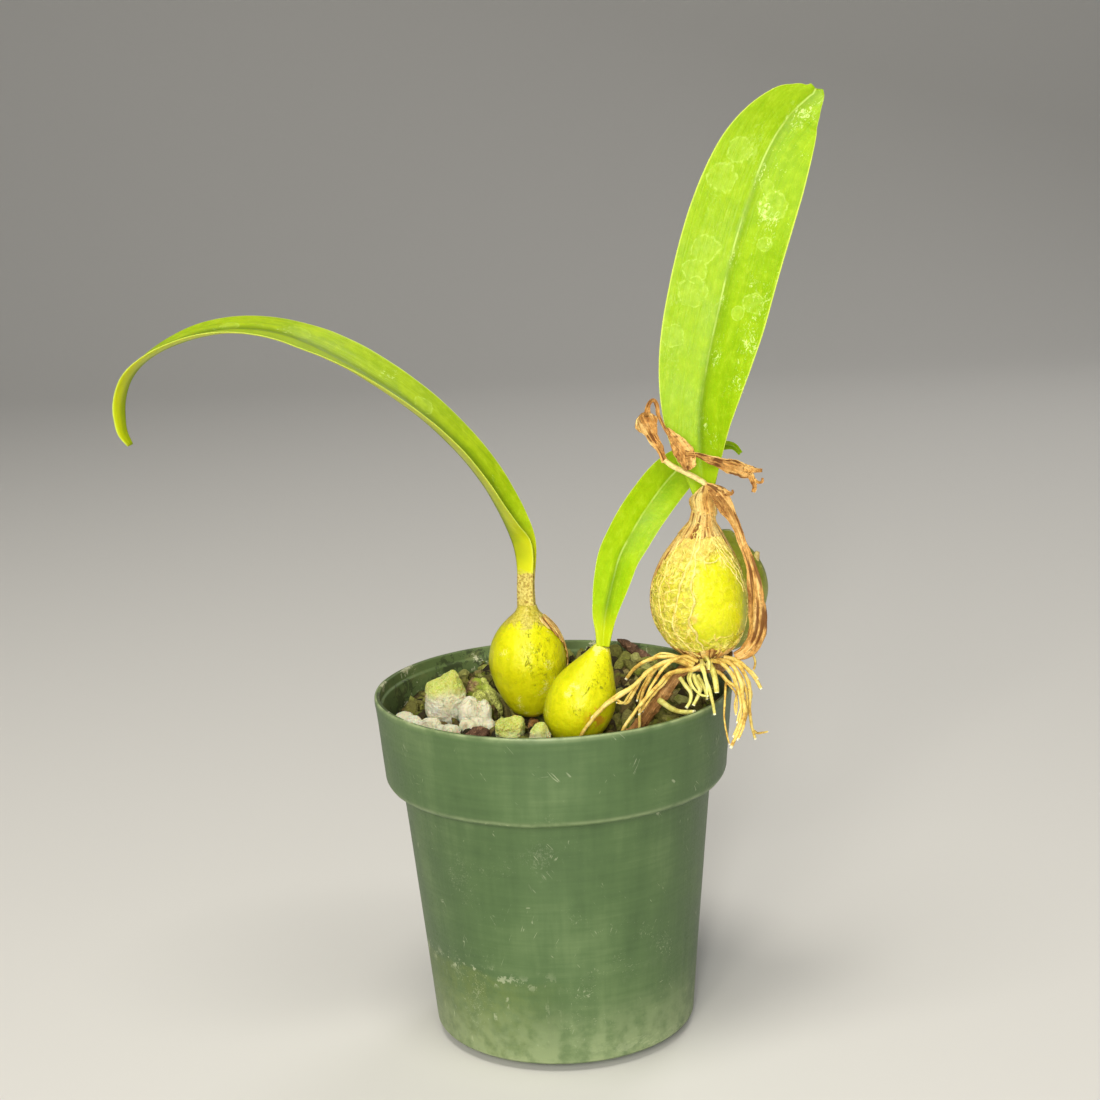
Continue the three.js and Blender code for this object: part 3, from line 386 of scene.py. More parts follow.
def crumb_finish():
    """Crumbs of the mix. Each carries its own draw: dark bark, tan or mossy ones and a few of pale pumice."""
    p = new_finish("mix_crumb", Specular_IOR_Level=0.25)
    place = p.object_place()
    colour = p.ramp(p.mark("draw"), CRUMB_KINDS)
    grain = p.noise(p.stretch(place, 1, 2.6, 1), 1500.0, 4.0, 0.7)
    colour = p.tint(p.span(grain, 0.3, 0.75, 0.55, 0.0), colour, (0.02, 0.014, 0.008))
    moss = p.span(p.noise(place, 230.0, 4.0, 0.65), 0.53, 0.68)
    colour = p.tint(moss * 0.7, colour, (0.25, 0.3, 0.03))
    return finished(p, colour, p.span(grain, 0.3, 0.7, 0.95, 0.75), p.relief(grain, 0.0005))


def bed_finish():
    """The dark fine mix between the crumbs."""
    p = new_finish("mix_bed", Specular_IOR_Level=0.2)
    place = p.object_place()
    grain = p.noise(place, 700.0, 6.0, 0.75)
    colour = p.ramp(grain, BED_BROWNS)
    moss = p.span(p.noise(place, 180.0, 4.0), 0.46, 0.62, 0.0, 0.6)
    return finished(p, p.tint(moss, colour, (0.17, 0.2, 0.03)), 0.95, p.relief(grain, 0.0012))


def pumice_finish():
    """Porous pale stone. Algae colour it green where the mesh says so."""
    p = new_finish("pumice", Specular_IOR_Level=0.2, Subsurface_Weight=0.25, Subsurface_Scale=0.0015)
    place = p.object_place()
    lumps = p.noise(place, 260.0, 5.0, 0.65)
    grain = p.noise(place, 2400.0, 4.0, 0.75)
    colour = p.ramp(lumps, [(0.3, (0.86, 0.78, 0.48)), (0.46, (0.97, 0.93, 0.68)), (0.7, (0.99, 0.97, 0.8))])
    pits = p.effect(SPECKS, Place=place, Scale=1500.0, Patch_Scale=500.0, Cover=0.5)
    colour = p.tint(pits * 0.3, colour, (0.5, 0.43, 0.2))
    spread = p.span(lumps + grain * 0.35 + p.mark("algae"), 0.8, 1.6)
    green = p.ramp(grain, [(0.3, (0.42, 0.52, 0.04)), (0.46, (0.72, 0.78, 0.12)), (0.7, (0.92, 0.93, 0.4))])
    colour = p.tint(spread * 0.95, colour, green)
    colour = p.tint(p.mark("crack") * 0.4, colour, (0.34, 0.3, 0.14))
    return finished(p, colour, 0.92, p.relief(lumps + grain * 0.6 - pits * 0.5, 0.0012))


def bark_finish(name, light, middle, dark, moss=0.0):
    """Layered bark with cracks along the grain."""
    p = new_finish(name, Specular_IOR_Level=0.25)
    place = p.object_place()
    wavy = p.vector("ADD", place, p.push(place, 200.0, 0.002))
    shade, ridge = p.effect(FIBRE_GRAIN, Place=wavy, Across=1300.0, Along=300.0)
    colour = p.ramp(shade, [(0.35, dark), (0.5, middle), (0.66, light)])
    colour = p.tint(p.span(ridge, 0.25, 0.0, 0.0, 0.7), colour, (0.03, 0.02, 0.012))
    if moss:
        green = p.span(p.noise(place, 300.0, 4.0), 0.6 - 0.3 * moss, 0.8 - 0.3 * moss)
        colour = p.tint(green * 0.9, colour, (0.34, 0.46, 0.04))
    return finished(p, colour, 0.88, p.relief(shade, 0.0008))


def beige_scales(p, place, scale, stops):
    """The scaly beige skin at a bulb's cap and a leaf's foot: its colour and its pattern."""
    scales = p.noise(place, scale, 4.0, 0.7)
    return p.ramp(scales, stops), scales


def bulb_finish(name, light, body, deep, dashes, cap=0.0, blush=0.0, netted=False):
    """Glossy bulb skin with painted shade towards its foot and its sides: short dark cracks, pale spots that
    are part wear and part painted glints, a scaly cap, an orange blush, a pale vein net with painted shade
    between its veins.
    """
    p = new_finish(name, Specular_IOR_Level=0.28, Subsurface_Weight=0.08, Subsurface_Scale=0.002)
    place = p.object_place()
    height = p.mark("height")
    turn = p.mark("turn")
    mottle = p.noise(place, 520.0, 4.0, 0.65)
    colour = p.ramp(p.noise(place, 110.0, 3.0, 0.5), [(0.32, body), (0.62, light)])
    # Painted shade: the deep tone darkens the skin towards its foot and towards its sides, away from the
    # viewer.
    colour = p.tint(p.span(height, 0.34, 0.0, 0.0, 0.62), colour, deep)
    colour = p.tint(p.span(abs(turn), 35.0, 115.0, 0.0, 0.5), colour, deep)
    colour = p.tint(p.span(mottle, 0.5, 0.75, 0.0, 0.3), colour, light)
    colour = p.tint(p.span(mottle, 0.52, 0.36, 0.0, 0.3), colour, deep)
    band = p.span(abs(turn - 18.0), 80.0, 15.0, 0.25, 1.0) * p.span(height, 0.1, 0.4, 0.5, 1.0)
    wavy = p.vector("ADD", place, p.push(place, 110.0, 0.014))
    short = p.stretch(wavy, 1, 1, 0.3)
    cracks = p.effect(SPECKS, Place=short, Scale=2300.0, Patch_Scale=520.0, Cover=band * dashes, Gather=0.42)
    colour = p.tint(cracks * 0.62, colour, (0.2, 0.21, 0.006))
    # Pale flecks, part pale spots of the skin and part painted highlight glints.
    crumbs = p.effect(SPECKS, Place=place, Scale=2300.0, Patch_Scale=200.0, Cover=0.38)
    colour = p.tint(crumbs * 0.55, colour, (0.95, 0.9, 0.3))
    rough = p.span(mottle, 0.35, 0.7, 0.3, 0.44) + cracks * 0.3
    if blush:
        spot = p.span(abs(turn - 30.0), 30.0, 6.0) * p.span(abs(height - 0.4), 0.17, 0.03)
        freckles = p.effect(SPECKS, Place=place, Scale=1300.0, Patch_Scale=300.0, Cover=0.85)
        colour = p.tint(spot * freckles * blush, colour, (0.66, 0.3, 0.02))
    if cap:
        rag = (p.noise(place, 420.0, 4.0, 0.7) - 0.5) * 0.34 + height
        beige, scales = beige_scales(p, place, 1700.0, BULB_BEIGES)
        colour = p.tint(p.span(rag, cap, cap + 0.04) * p.span(scales, 0.3, 0.5, 0.5, 1.0), colour, beige)
    if netted:
        sheath = p.mark("sheath")
        net = p.mark("net")
        film = p.noise(place, 900.0, 4.0, 0.7)
        # Under the sheath the skin turns dull olive, darkened as painted shade between the raised veins.
        colour = p.tint(sheath * 0.8, colour, p.ramp(film, SHEATH_SHADE_TONES))
        colour = p.tint(p.span(film, 0.5, 0.68, 0.0, 0.4), colour, light)
        crown = p.span(film * 0.36 + height, 0.74, 0.98, 0.0, 0.8)
        colour = p.tint(crown * sheath, colour, (0.8, 0.6, 0.16))
        thread = p.ramp(mottle, [(0.4, (0.7, 0.5, 0.08)), (0.56, (0.94, 0.8, 0.22))])
        colour = p.tint(net, colour, thread)
        rough = rough + net * 0.35
    return finished(p, colour, rough, p.relief(mottle - cracks * 0.5, 0.0003))


def leaf_finish(name, upper, upper_light, under, stem, scaly_foot=0.0, drops=(), flecks=0.3, crease=0.5):
    """Leathery leaf: fine veins, pale midrib and margins, dried drops above, yellower below and at its foot.
    drops are (across, along, size) in mm. Painted light lightens the left half; painted shade darkens beside
    and along the midrib."""
    p = new_finish(name, Specular_IOR_Level=0.2, Subsurface_Weight=0.08, Subsurface_Scale=0.0015)
    blade_place = p.mark("blade", "Vector")
    across = p.axis(blade_place, 0)
    centre = abs(across)
    part = p.mark("part")
    flat = p.wire("ShaderNodeCombineXYZ", {0: across, 1: p.axis(blade_place, 1), 2: 0.0})
    veins, _ = p.effect(FIBRE_GRAIN, Place=flat, Across=1400.0, Along=16.0)
    cloud = p.noise(flat, 130.0, 3.0, 0.5)
    above = p.ramp(veins * 0.5 + cloud * 0.5, [(0.36, upper), (0.62, upper_light)])
    # Painted light: the left half of the upper side is lighter, as if lit from the left.
    above = p.tint(p.span(across, 0.0015, -0.003, 0.0, 0.5), above, upper_light)
    dimples = p.noise(p.stretch(flat, 1, 0.6, 1), 620.0, 4.0, 0.65)
    above = p.tint(p.span(dimples, 0.5, 0.7, 0.0, 0.4), above, mixed(upper_light, (0.8, 0.95, 0.1), 0.25))
    above = p.tint(p.span(dimples, 0.5, 0.34, 0.0, 0.4), above, upper)
    shadow = p.span(across, 0.0028, 0.0002) * p.span(across, -0.0006, 0.0002, 0.0, 0.4)
    above = p.tint(shadow, above, mixed(upper, BLACK, 0.45))
    film = p.strongest(
        p.effect(DRIED_DROP, Place=flat, Centre=(x * MM, y * MM, 0.0), Size=size * MM) for x, y, size in drops
    )
    above = p.tint(film * 0.45, above, (0.6, 0.8, 0.16))
    short = p.stretch(flat, 1, 0.55, 1)
    salt = p.effect(SPECKS, Place=short, Scale=1500.0, Patch_Scale=150.0, Cover=flecks, Gather=0.8)
    above = p.tint(salt * p.span(across, -0.001, 0.001, 0.2, 1.0) * 0.6, above, (0.72, 0.88, 0.3))
    below = p.tint(p.span(cloud, 0.3, 0.7, 0.0, 0.4), under, above)
    colour = p.tint(p.span(p.mark("side"), 0.4, 0.6), below, above)
    broken = p.span(p.noise(p.stretch(flat, 1, 0.3, 1), 260.0), 0.4, 0.58, 0.1, 1.0)
    rib = p.span(centre, 0.0003, 0.0001) * p.span(part, 0.2, 0.32, 0.0, 0.55)
    colour = p.tint(rib * broken, colour, (0.66, 0.84, 0.2))
    # Painted shade along the midrib's groove, wider on the arching leaf where its two halves fold together.
    wide = 0.0013 if crease < 1 else 0.0026
    groove = p.span(centre, wide, 0.0002) * p.span(part, crease, crease - 0.4, 0.0, 0.7)
    colour = p.tint(groove, colour, mixed(upper, BLACK, 0.4))
    colour = p.tint(p.span(p.mark("edge"), 0.965, 0.99, 0.0, 0.75), colour, (0.66, 0.78, 0.12))
    colour = p.tint(p.span(cloud * 0.05 + part, 0.17, 0.06) * 0.85, colour, stem)
    if scaly_foot:
        rag = (p.noise(flat, 500.0, 4.0, 0.7) - 0.5) * 0.03 + part
        beige, _ = beige_scales(p, p.object_place(), 1500.0, FOOT_BEIGES)
        colour = p.tint(p.span(rag, scaly_foot + 0.006, scaly_foot - 0.006), colour, beige)
    rough = p.span(cloud, 0.3, 0.7, 0.38, 0.5) + film * 0.2
    return finished(p, colour, rough, p.relief(veins + p.noise(flat, 900.0, 3.0) * 0.4, 0.0002))


def root_finish(name, light, body, tip):
    """Waxy root skin, browner in patches, with painted highlights in its palest patches and a pale cut end.
    """
    p = new_finish(name, Specular_IOR_Level=0.4, Subsurface_Weight=0.08, Subsurface_Scale=0.001)
    place = p.object_place()
    patch = p.noise(place, 260.0, 4.0, 0.6)
    shade = patch * 0.75 + p.noise(place, 1900.0, 3.0) * 0.25
    # The palest patches are painted highlights on the waxy skin.
    colour = p.ramp(shade, [(0.38, body), (0.52, light), (0.68, mixed(light, (0.95, 0.88, 0.5), 0.5))])
    colour = p.tint(p.span(p.mark("along"), 0.965, 0.985), colour, tip)
    return finished(p, colour, p.span(patch, 0.3, 0.7, 0.62, 0.42), p.relief(shade, 0.00025))


def paper_finish(name, light, middle, dark, across=1500.0, along=90.0, ridge_depth=0.00045):
    """Dry papery tissue, with lengthwise veins, and painted shade in its creases."""
    p = new_finish(name, Specular_IOR_Level=0.25, Subsurface_Weight=0.05, Subsurface_Scale=0.0008)
    shade, ridge = p.effect(FIBRE_GRAIN, Place=p.mark("blade", "Vector"), Across=across, Along=along)
    cloud = p.noise(p.object_place(), 330.0, 4.0, 0.65)
    colour = p.ramp(shade * 0.65 + cloud * 0.35, [(0.38, dark), (0.48, middle), (0.58, light)])
    deep = mixed(dark, BLACK, 0.35)
    colour = p.tint(p.span(ridge, 0.3, 0.0, 0.0, 0.4), colour, deep)
    flecks = p.noise(p.object_place(), 1250.0, 4.0, 0.7)
    colour = p.tint(p.span(flecks, 0.54, 0.66, 0.0, 0.55), colour, deep)
    # Painted shade: darker where the fold mark is low, in the valleys of the creases.
    colour = p.tint(p.span(p.mark("fold"), 0.42, 0.16, 0.0, 0.9), colour, deep)
    return finished(p, colour, p.span(cloud, 0.3, 0.7, 0.85, 0.6), p.relief(shade, ridge_depth))


def fibre_finish(name, light, dark):
    """Plain dry fibre."""
    p = new_finish(name, Specular_IOR_Level=0.3)
    grain = p.noise(p.object_place(), 700.0, 4.0, 0.65)
    return finished(p, p.ramp(grain, [(0.34, dark), (0.6, light)]), 0.7, p.relief(grain, 0.0002))


# Numbers and curves


def eased(keys, t):
    """The value at t between keys (t, value), eased through them."""
    t = np.asarray(t, float)
    x = np.array([k[0] for k in keys], float)
    y = np.array([k[1] for k in keys], float)
    k = np.clip(np.searchsorted(x, t, side="left") - 1, 0, len(x) - 2)
    before, after = np.maximum(k - 1, 0), np.minimum(k + 2, len(x) - 1)
    width = x[k + 1] - x[k]
    s = np.clip((t - x[k]) / width, 0, 1)
    slope_in = (y[k + 1] - y[before]) / (x[k + 1] - x[before]) * width
    slope_out = (y[after] - y[k]) / (x[after] - x[k]) * width
    return (
        (2 * s**3 - 3 * s**2 + 1) * y[k] + (s**3 - 2 * s**2 + s) * slope_in
        + (3 * s**2 - 2 * s**3) * y[k + 1] + (s**3 - s**2) * slope_out
    )


def smooth(low, high, x):
    s = np.clip((np.asarray(x, float) - low) / (high - low), 0, 1)
    return s * s * (3 - 2 * s)


def spot(x, y, z):
    """Points from three coordinates, each a grid or one number."""
    return np.stack(np.broadcast_arrays(x, y, z), axis=-1)


def round_spot(radius, angle, z):
    return spot(radius * np.cos(angle), radius * np.sin(angle), z)


def even_turns(count):
    return np.linspace(0, 2 * math.pi, count, endpoint=False)


CORNERS = [(a, b, c) for a in (0, 1) for b in (0, 1) for c in (0, 1)]


def lumpy(points, size, seed=0, octaves=3):
    """Smooth random values from -1 to 1 at each point, in lumps of about that size."""
    p = np.asarray(points, float) / size
    total, gain, whole = 0.0, 1.0, 0.0
    for octave in range(octaves):
        cell = np.floor(p).astype(np.int64)
        f = p - cell
        f = f * f * (3 - 2 * f)
        value = 0.0
        for corner in CORNERS:
            c = cell + np.array(corner)
            h = c[..., 0] * 374761393 + c[..., 1] * 668265263 + c[..., 2] * 1440662683
            h = (h + (seed + 7 * octave) * 974634777) & 0xFFFFFFFF
            h = ((h ^ (h >> 13)) * 1274126177) & 0xFFFFFFFF
            h = (h ^ (h >> 16)) & 0xFFFF
            weight = np.prod(np.where(np.array(corner) == 1, f, 1 - f), axis=-1)
            value = value + weight * (h / 32767.5 - 1)
        total = total + gain * value
        whole += gain
        gain *= 0.5
        p = p * 2.03 + 17.1
    return total / whole


def shaken(points, size, seeds, octaves=2):
    """A random push for each point, from -1 to 1 each way, with one seed for each of x, y and z."""
    return np.stack([lumpy(points, size, seed, octaves) for seed in seeds], axis=-1)


def trail(points, count):
    """count even points along a centripetal curve through the given ones, in mm."""
    p = np.array(points, float)
    p = np.vstack([2 * p[0] - p[1], p, 2 * p[-1] - p[-2]])
    fine = []
    for a, b, c, d in zip(p, p[1:], p[2:], p[3:]):
        t1 = np.linalg.norm(b - a) ** 0.5
        t2 = t1 + np.linalg.norm(c - b) ** 0.5
        t3 = t2 + np.linalg.norm(d - c) ** 0.5
        t = np.linspace(t1, t2, 14, endpoint=False)[:, None]
        ab = (t1 - t) / t1 * a + t / t1 * b
        bc = (t2 - t) / (t2 - t1) * b + (t - t1) / (t2 - t1) * c
        cd = (t3 - t) / (t3 - t2) * c + (t - t2) / (t3 - t2) * d
        abc = (t2 - t) / t2 * ab + t / t2 * bc
        bcd = (t3 - t) / (t3 - t1) * bc + (t - t1) / (t3 - t1) * cd
        fine.append((t2 - t) / (t2 - t1) * abc + (t - t1) / (t2 - t1) * bcd)
    fine = np.vstack([*fine, p[-2:-1]])
    reach = np.concatenate([[0], np.cumsum(np.linalg.norm(np.diff(fine, axis=0), axis=1))])
    spots = np.linspace(0, reach[-1], count)
    return np.stack([np.interp(spots, reach, row) for row in fine.T], axis=1)


def unit(v):
    return v / np.maximum(np.linalg.norm(v, axis=-1, keepdims=True), 1e-12)


def blade_frames(spots, roll):
    """Sideways and facing directions along a blade. Roll 90 turns its upper side to the viewer."""
    tangent = unit(np.gradient(spots, axis=0))
    across = unit(np.cross([0.0, 1.0, 0.0], tangent))
    towards = unit(np.cross(across, tangent))
    towards[towards[:, 1] > 0] *= -1
    angle = np.radians(roll)[:, None]
    facing = unit(across * np.cos(angle) + towards * np.sin(angle))
    return unit(np.cross(tangent, facing)), facing, tangent


# Meshes


def put(name, verts, faces, finish, node=None, slot=None, marks=None):
    """Makes one finished piece from points in mm. marks are named numbers or places at each point."""
    mesh = bpy.data.meshes.new(name)
    mesh.from_pydata((np.asarray(verts) * MM).tolist(), [], faces)
    mesh.validate()
    for label, values in (marks or {}).items():
        values = np.asarray(values, float)
        if values.ndim == 2:
            layer = mesh.attributes.new(label, "FLOAT_VECTOR", "POINT")
            layer.data.foreach_set("vector", (values * MM).ravel())
        else:
            layer = mesh.attributes.new(label, "FLOAT", "POINT")
            layer.data.foreach_set("value", values)
    piece = bpy.data.objects.new(name, mesh)
    bpy.context.collection.objects.link(piece)
    turned_out(mesh)
    mesh.shade_smooth()
    for one in finish if isinstance(finish, list) else [finish]:
        mesh.materials.append(one)
    if slot:
        settle(piece, node)
    return piece


def turned_out(mesh):
    work = bmesh.new()
    work.from_mesh(mesh)
    bmesh.ops.recalc_face_normals(work, faces=work.faces)
    work.to_mesh(mesh)
    work.free()


def settle(piece, node):
    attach(piece, "root")
    if node:
        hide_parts(node)


def baked(piece):
    """Turns a piece with modifiers into a plain mesh."""
    graph = bpy.context.evaluated_depsgraph_get()
    mesh = bpy.data.meshes.new_from_object(piece.evaluated_get(graph))
    piece.modifiers.clear()
    old = piece.data
    piece.data = mesh
    bpy.data.meshes.remove(old)
    return piece


def rings_closed(rings, sides):
    """Faces of a closed skin over rings of points, and two end points that come after the rings."""
    faces = []
    for j in range(rings - 1):
        for i in range(sides):
            a, b = j * sides + i, j * sides + (i + 1) % sides
            faces.append((a, b, b + sides, a + sides))
    first, last, end = rings * sides, rings * sides + 1, (rings - 1) * sides
    for i in range(sides):
        k = (i + 1) % sides
        faces.append((k, i, first))
        faces.append((end + i, end + k, last))
    return faces


def joined_pieces(parts):
    """Puts several (points, faces, marks) together."""
    verts, faces, marks, count = [], [], {}, 0
    for points, loops, own in parts:
        verts.append(np.asarray(points))
        faces += [tuple(v + count for v in loop) for loop in loops]
        for key, value in own.items():
            marks.setdefault(key, []).append(np.asarray(value, float))
        count += len(points)
    return np.vstack(verts), faces, {key: np.concatenate(value) for key, value in marks.items()}


# Blades: leaves and dry ribbons


def blade(spine, roll, section, stations, cells):
    """A closed blade. section(u, t) gives its sideways place, its lift and its thickness in mm."""
    spots = trail(spine, stations + 1)
    t = np.linspace(0, 1, stations + 1)
    sideways, facing, tangent = blade_frames(spots, eased(roll, t))
    u = np.sin(np.linspace(-math.pi / 2, math.pi / 2, cells + 1))
    grid_t, grid_u = np.meshgrid(t, u, indexing="ij")
    side, lift, thick, back = section(grid_u, grid_t)
    middle = spots[:, None] + sideways[:, None] * side[..., None] + facing[:, None] * lift[..., None]
    middle = middle + tangent[:, None] * back[..., None]
    upper = middle + facing[:, None] * (thick / 2)[..., None]
    lower = middle - facing[:, None] * (thick / 2)[..., None]
    loop = np.concatenate([upper, lower[:, ::-1]], axis=1)
    sides = loop.shape[1]
    length = np.linalg.norm(np.diff(spots, axis=0), axis=1).sum()
    points = np.vstack([loop.reshape(-1, 3), loop[0].mean(axis=0), loop[-1].mean(axis=0)])

    def round_trip(values, ends):
        both = np.concatenate([values, values[:, ::-1]], axis=1).ravel()
        return np.concatenate([both, ends])

    marks = {
        "way": round_trip(grid_u, [0, 0]),
        "edge": round_trip(np.abs(grid_u), [0, 0]),
        "part": round_trip(grid_t, [0, 1]),
        "side": np.concatenate([np.tile(np.repeat([1.0, 0.0], cells + 1), stations + 1), [0.5, 0.5]]),
        "blade": spot(round_trip(side, [0, 0]), round_trip(grid_t * length, [0, length]), 0.0),
    }
    return points, rings_closed(stations + 1, sides), marks


LEAVES = {
    "leaf_left": {
        "spine": [
            (-6.2, 1, 107.9), (-6.2, 1, 113), (-6.2, 1, 118), (-7.1, 0.8, 123.2), (-8.8, 0.5, 128.1),
            (-11.3, 0, 133.9), (-14.3, -0.4, 139.8), (-18.3, -1, 145.9), (-22.8, -1.5, 151.4),
            (-28.5, -2.2, 157.3), (-34.5, -3, 162.4), (-40.6, -3.6, 167), (-46.8, -4.3, 171.3),
            (-53, -5, 175.2), (-60, -6, 178.6), (-66.5, -6.8, 180.3), (-73, -7.6, 180.8), (-80, -8.5, 180.1),
            (-85.5, -9.4, 178.7), (-90.1, -10.2, 176.8), (-93.9, -10.8, 174.3), (-96.5, -11.5, 171.3),
            (-98, -12, 168), (-98.7, -12.4, 164.7), (-98.8, -12.8, 161.5), (-98.6, -13, 158.6),
            (-97.5, -13, 155.3),
        ],
        "half": [
            (0, 2.25), (0.05, 2.4), (0.11, 4.5), (0.15, 5.5), (0.2, 6.6), (0.3, 8.5), (0.4, 9.5), (0.5, 9.9),
            (0.62, 9.7), (0.7, 9), (0.79, 7.8), (0.86, 6.3), (0.91, 4.8), (0.955, 3.4), (0.98, 2.5), (1, 1.1),
        ],
        "fold": [
            (0, 50), (0.11, 54), (0.15, 40), (0.2, 28), (0.3, 21), (0.5, 17.5), (0.56, 13), (0.62, 7.5),
            (0.75, 8), (0.86, 7), (0.91, 19), (0.955, 32), (1, 38),
        ],
        "roll": [
            (0, 12), (0.11, 11), (0.15, 16), (0.2, 15), (0.3, 10.5), (0.55, 10.5), (0.7, 7), (0.79, 4),
            (0.86, 2), (0.93, 4), (1, 8),
        ],
        "thick": [(0, 3.6), (0.06, 3), (0.14, 1.7), (0.3, 1.25), (0.6, 1.05), (1, 0.7)],
        "notch": 0,
        "wave": 0.22,
    },
    "leaf_front": {
        "spine": [
            (12.6, -20.9, 103.7), (12.9, -20.6, 107), (13.3, -20, 110.9), (14.1, -19, 114.4),
            (15.5, -17.5, 119.3), (17.2, -15.5, 124.1), (19.8, -13, 128.3), (22.8, -10, 132.4),
            (26, -6.6, 136), (29.2, -3, 139.1), (32.5, 0.5, 141.7), (36, 4, 143.8), (39.9, 7, 145.3),
            (44, 9, 146), (47.2, 9.8, 145.5), (49, 9.9, 143.6),
        ],
        "half": [
            (0, 2.1), (0.05, 2.6), (0.12, 3.7), (0.22, 4.9), (0.36, 5.7), (0.5, 5.9), (0.66, 5.6),
            (0.76, 4.2), (0.86, 2.1), (0.93, 1.3), (1, 0.7),
        ],
        "fold": [(0, 42), (0.1, 31), (0.3, 24), (0.8, 24), (1, 30)],
        "roll": [(0, 103), (0.2, 101), (0.4, 101), (0.6, 100), (0.8, 96), (1, 92)],
        "thick": [(0, 2.4), (0.12, 1.7), (0.3, 1.1), (1, 0.7)],
        "notch": 0,
        "wave": 0.12,
    },
    "leaf_raised": {
        "spine": [
            (37.8, -17, 138), (37.6, -17, 144.4), (37.3, -17, 150.6), (37.4, -16.6, 157.3),
            (38.3, -16, 164.5), (39.9, -15.4, 172.6), (42.2, -14.6, 181.7), (44.6, -13.8, 190.8),
            (47.4, -12.8, 199.9), (50.7, -11.4, 208.8), (54.1, -10, 216.6), (57.5, -9, 222.2),
            (60.8, -8.4, 226.2), (63.8, -8, 228.8), (65.8, -8, 230.6), (66.5, -8, 231.8),
        ],
        "half": [
            (0, 2.9), (0.058, 4.9), (0.115, 6.9), (0.185, 8.9), (0.254, 10.5), (0.336, 11.7), (0.43, 12.4),
            (0.6, 12.6), (0.72, 12.1), (0.8, 11.1), (0.873, 9.3), (0.927, 7.1), (0.965, 4.6), (0.985, 3),
            (1, 1.6),
        ],
        "fold": [(0, 42), (0.06, 34), (0.12, 26), (0.2, 19), (0.3, 15), (0.6, 13), (1, 10)],
        "roll": [(0, 108), (0.25, 111), (0.4, 107), (0.6, 103), (0.78, 99), (0.9, 91), (1, 86)],
        "thick": [(0, 3.2), (0.06, 2.4), (0.16, 1.4), (0.4, 1.1), (1, 0.7)],
        "notch": 1.4,
        "wave": 0.2,
    },
}


def make_leaf(name, finish, node, seed):
    leaf = LEAVES[node]

    def section(u, t):
        out = np.abs(u)
        half = eased(leaf["half"], t)
        fold = np.radians(eased(leaf["fold"], t))
        mid = eased(leaf["thick"], t)
        foot = smooth(0.13, 0.03, t)
        thick = 0.55 + (mid - 0.55) * (1 - out) ** 1.6
        thick = thick * np.sqrt(np.clip(1 - out**10, 0.05, 1))
        thick = thick + foot * (1.12 * mid * np.sqrt(np.clip(1.02 - out**2, 0.02, 1)) - thick)
        lift = half * np.sin(fold) * out**1.2 + (mid - thick) * 0.35 * (1 - foot)
        place = spot(u * 2.2 + 5, t * 9, seed * 3.1)
        blend = smooth(0.1, 0.3, t)
        lift = lift + leaf["wave"] * blend * out * lumpy(place, 1.0, seed)
        groove = np.exp(-((u * half / 0.55) ** 2))
        lift = lift - 0.14 * groove * blend
        side = half * u * np.cos(fold)
        back = -leaf["notch"] * (1 - out) * smooth(0.965, 1, t)
        return side, lift, thick, back

    points, faces, marks = blade(leaf["spine"], leaf["roll"], section, 220, 36)
    marks.pop("way")
    return put(name, points, faces, finish, node, "leaf", marks)


def ribbon(spine, half, roll, curl=0.0, seed=0, crumple=0.26, thick=0.2, stations=80, cells=26, ragged=0.2):
    """A dry, crumpled ribbon with raised veins and a ragged margin."""

    def creases(u, t):
        sharp = lumpy(spot(u * 2.1 + 0.6 * np.sin(4 * t + seed), t * 4, seed * 2.7), 1.0, seed, 3)
        soft = lumpy(spot(u * 5.5, t * 2.5, seed * 1.9), 1.0, seed + 3, 2)
        return np.clip(0.75 * (1 - 4.4 * np.abs(sharp)) + 0.5 * soft, -1, 1)

    def section(u, t):
        wide = eased(half, t)
        rag = lumpy(spot(np.sign(u) * 3, t * 11, seed * 1.3), 1.0, seed + 5, 3)
        wide = wide * (1 + ragged * rag * np.abs(u))
        bend = lumpy(spot(0.0, t * 5, seed * 3.1), 1.0, seed + 9, 2)
        lift = curl * wide * (u * u - 0.4) + crumple * wide * creases(u, t) + 0.3 * bend
        return wide * u, lift, np.full_like(t, thick), np.zeros_like(t)

    points, faces, marks = blade(spine, roll, section, stations, cells)
    # The fold mark is low in the crease valleys, where the finish paints shade.
    marks["fold"] = 0.5 + 0.5 * creases(marks.pop("way"), marks["part"])
    return points, faces, marks


# Bulbs

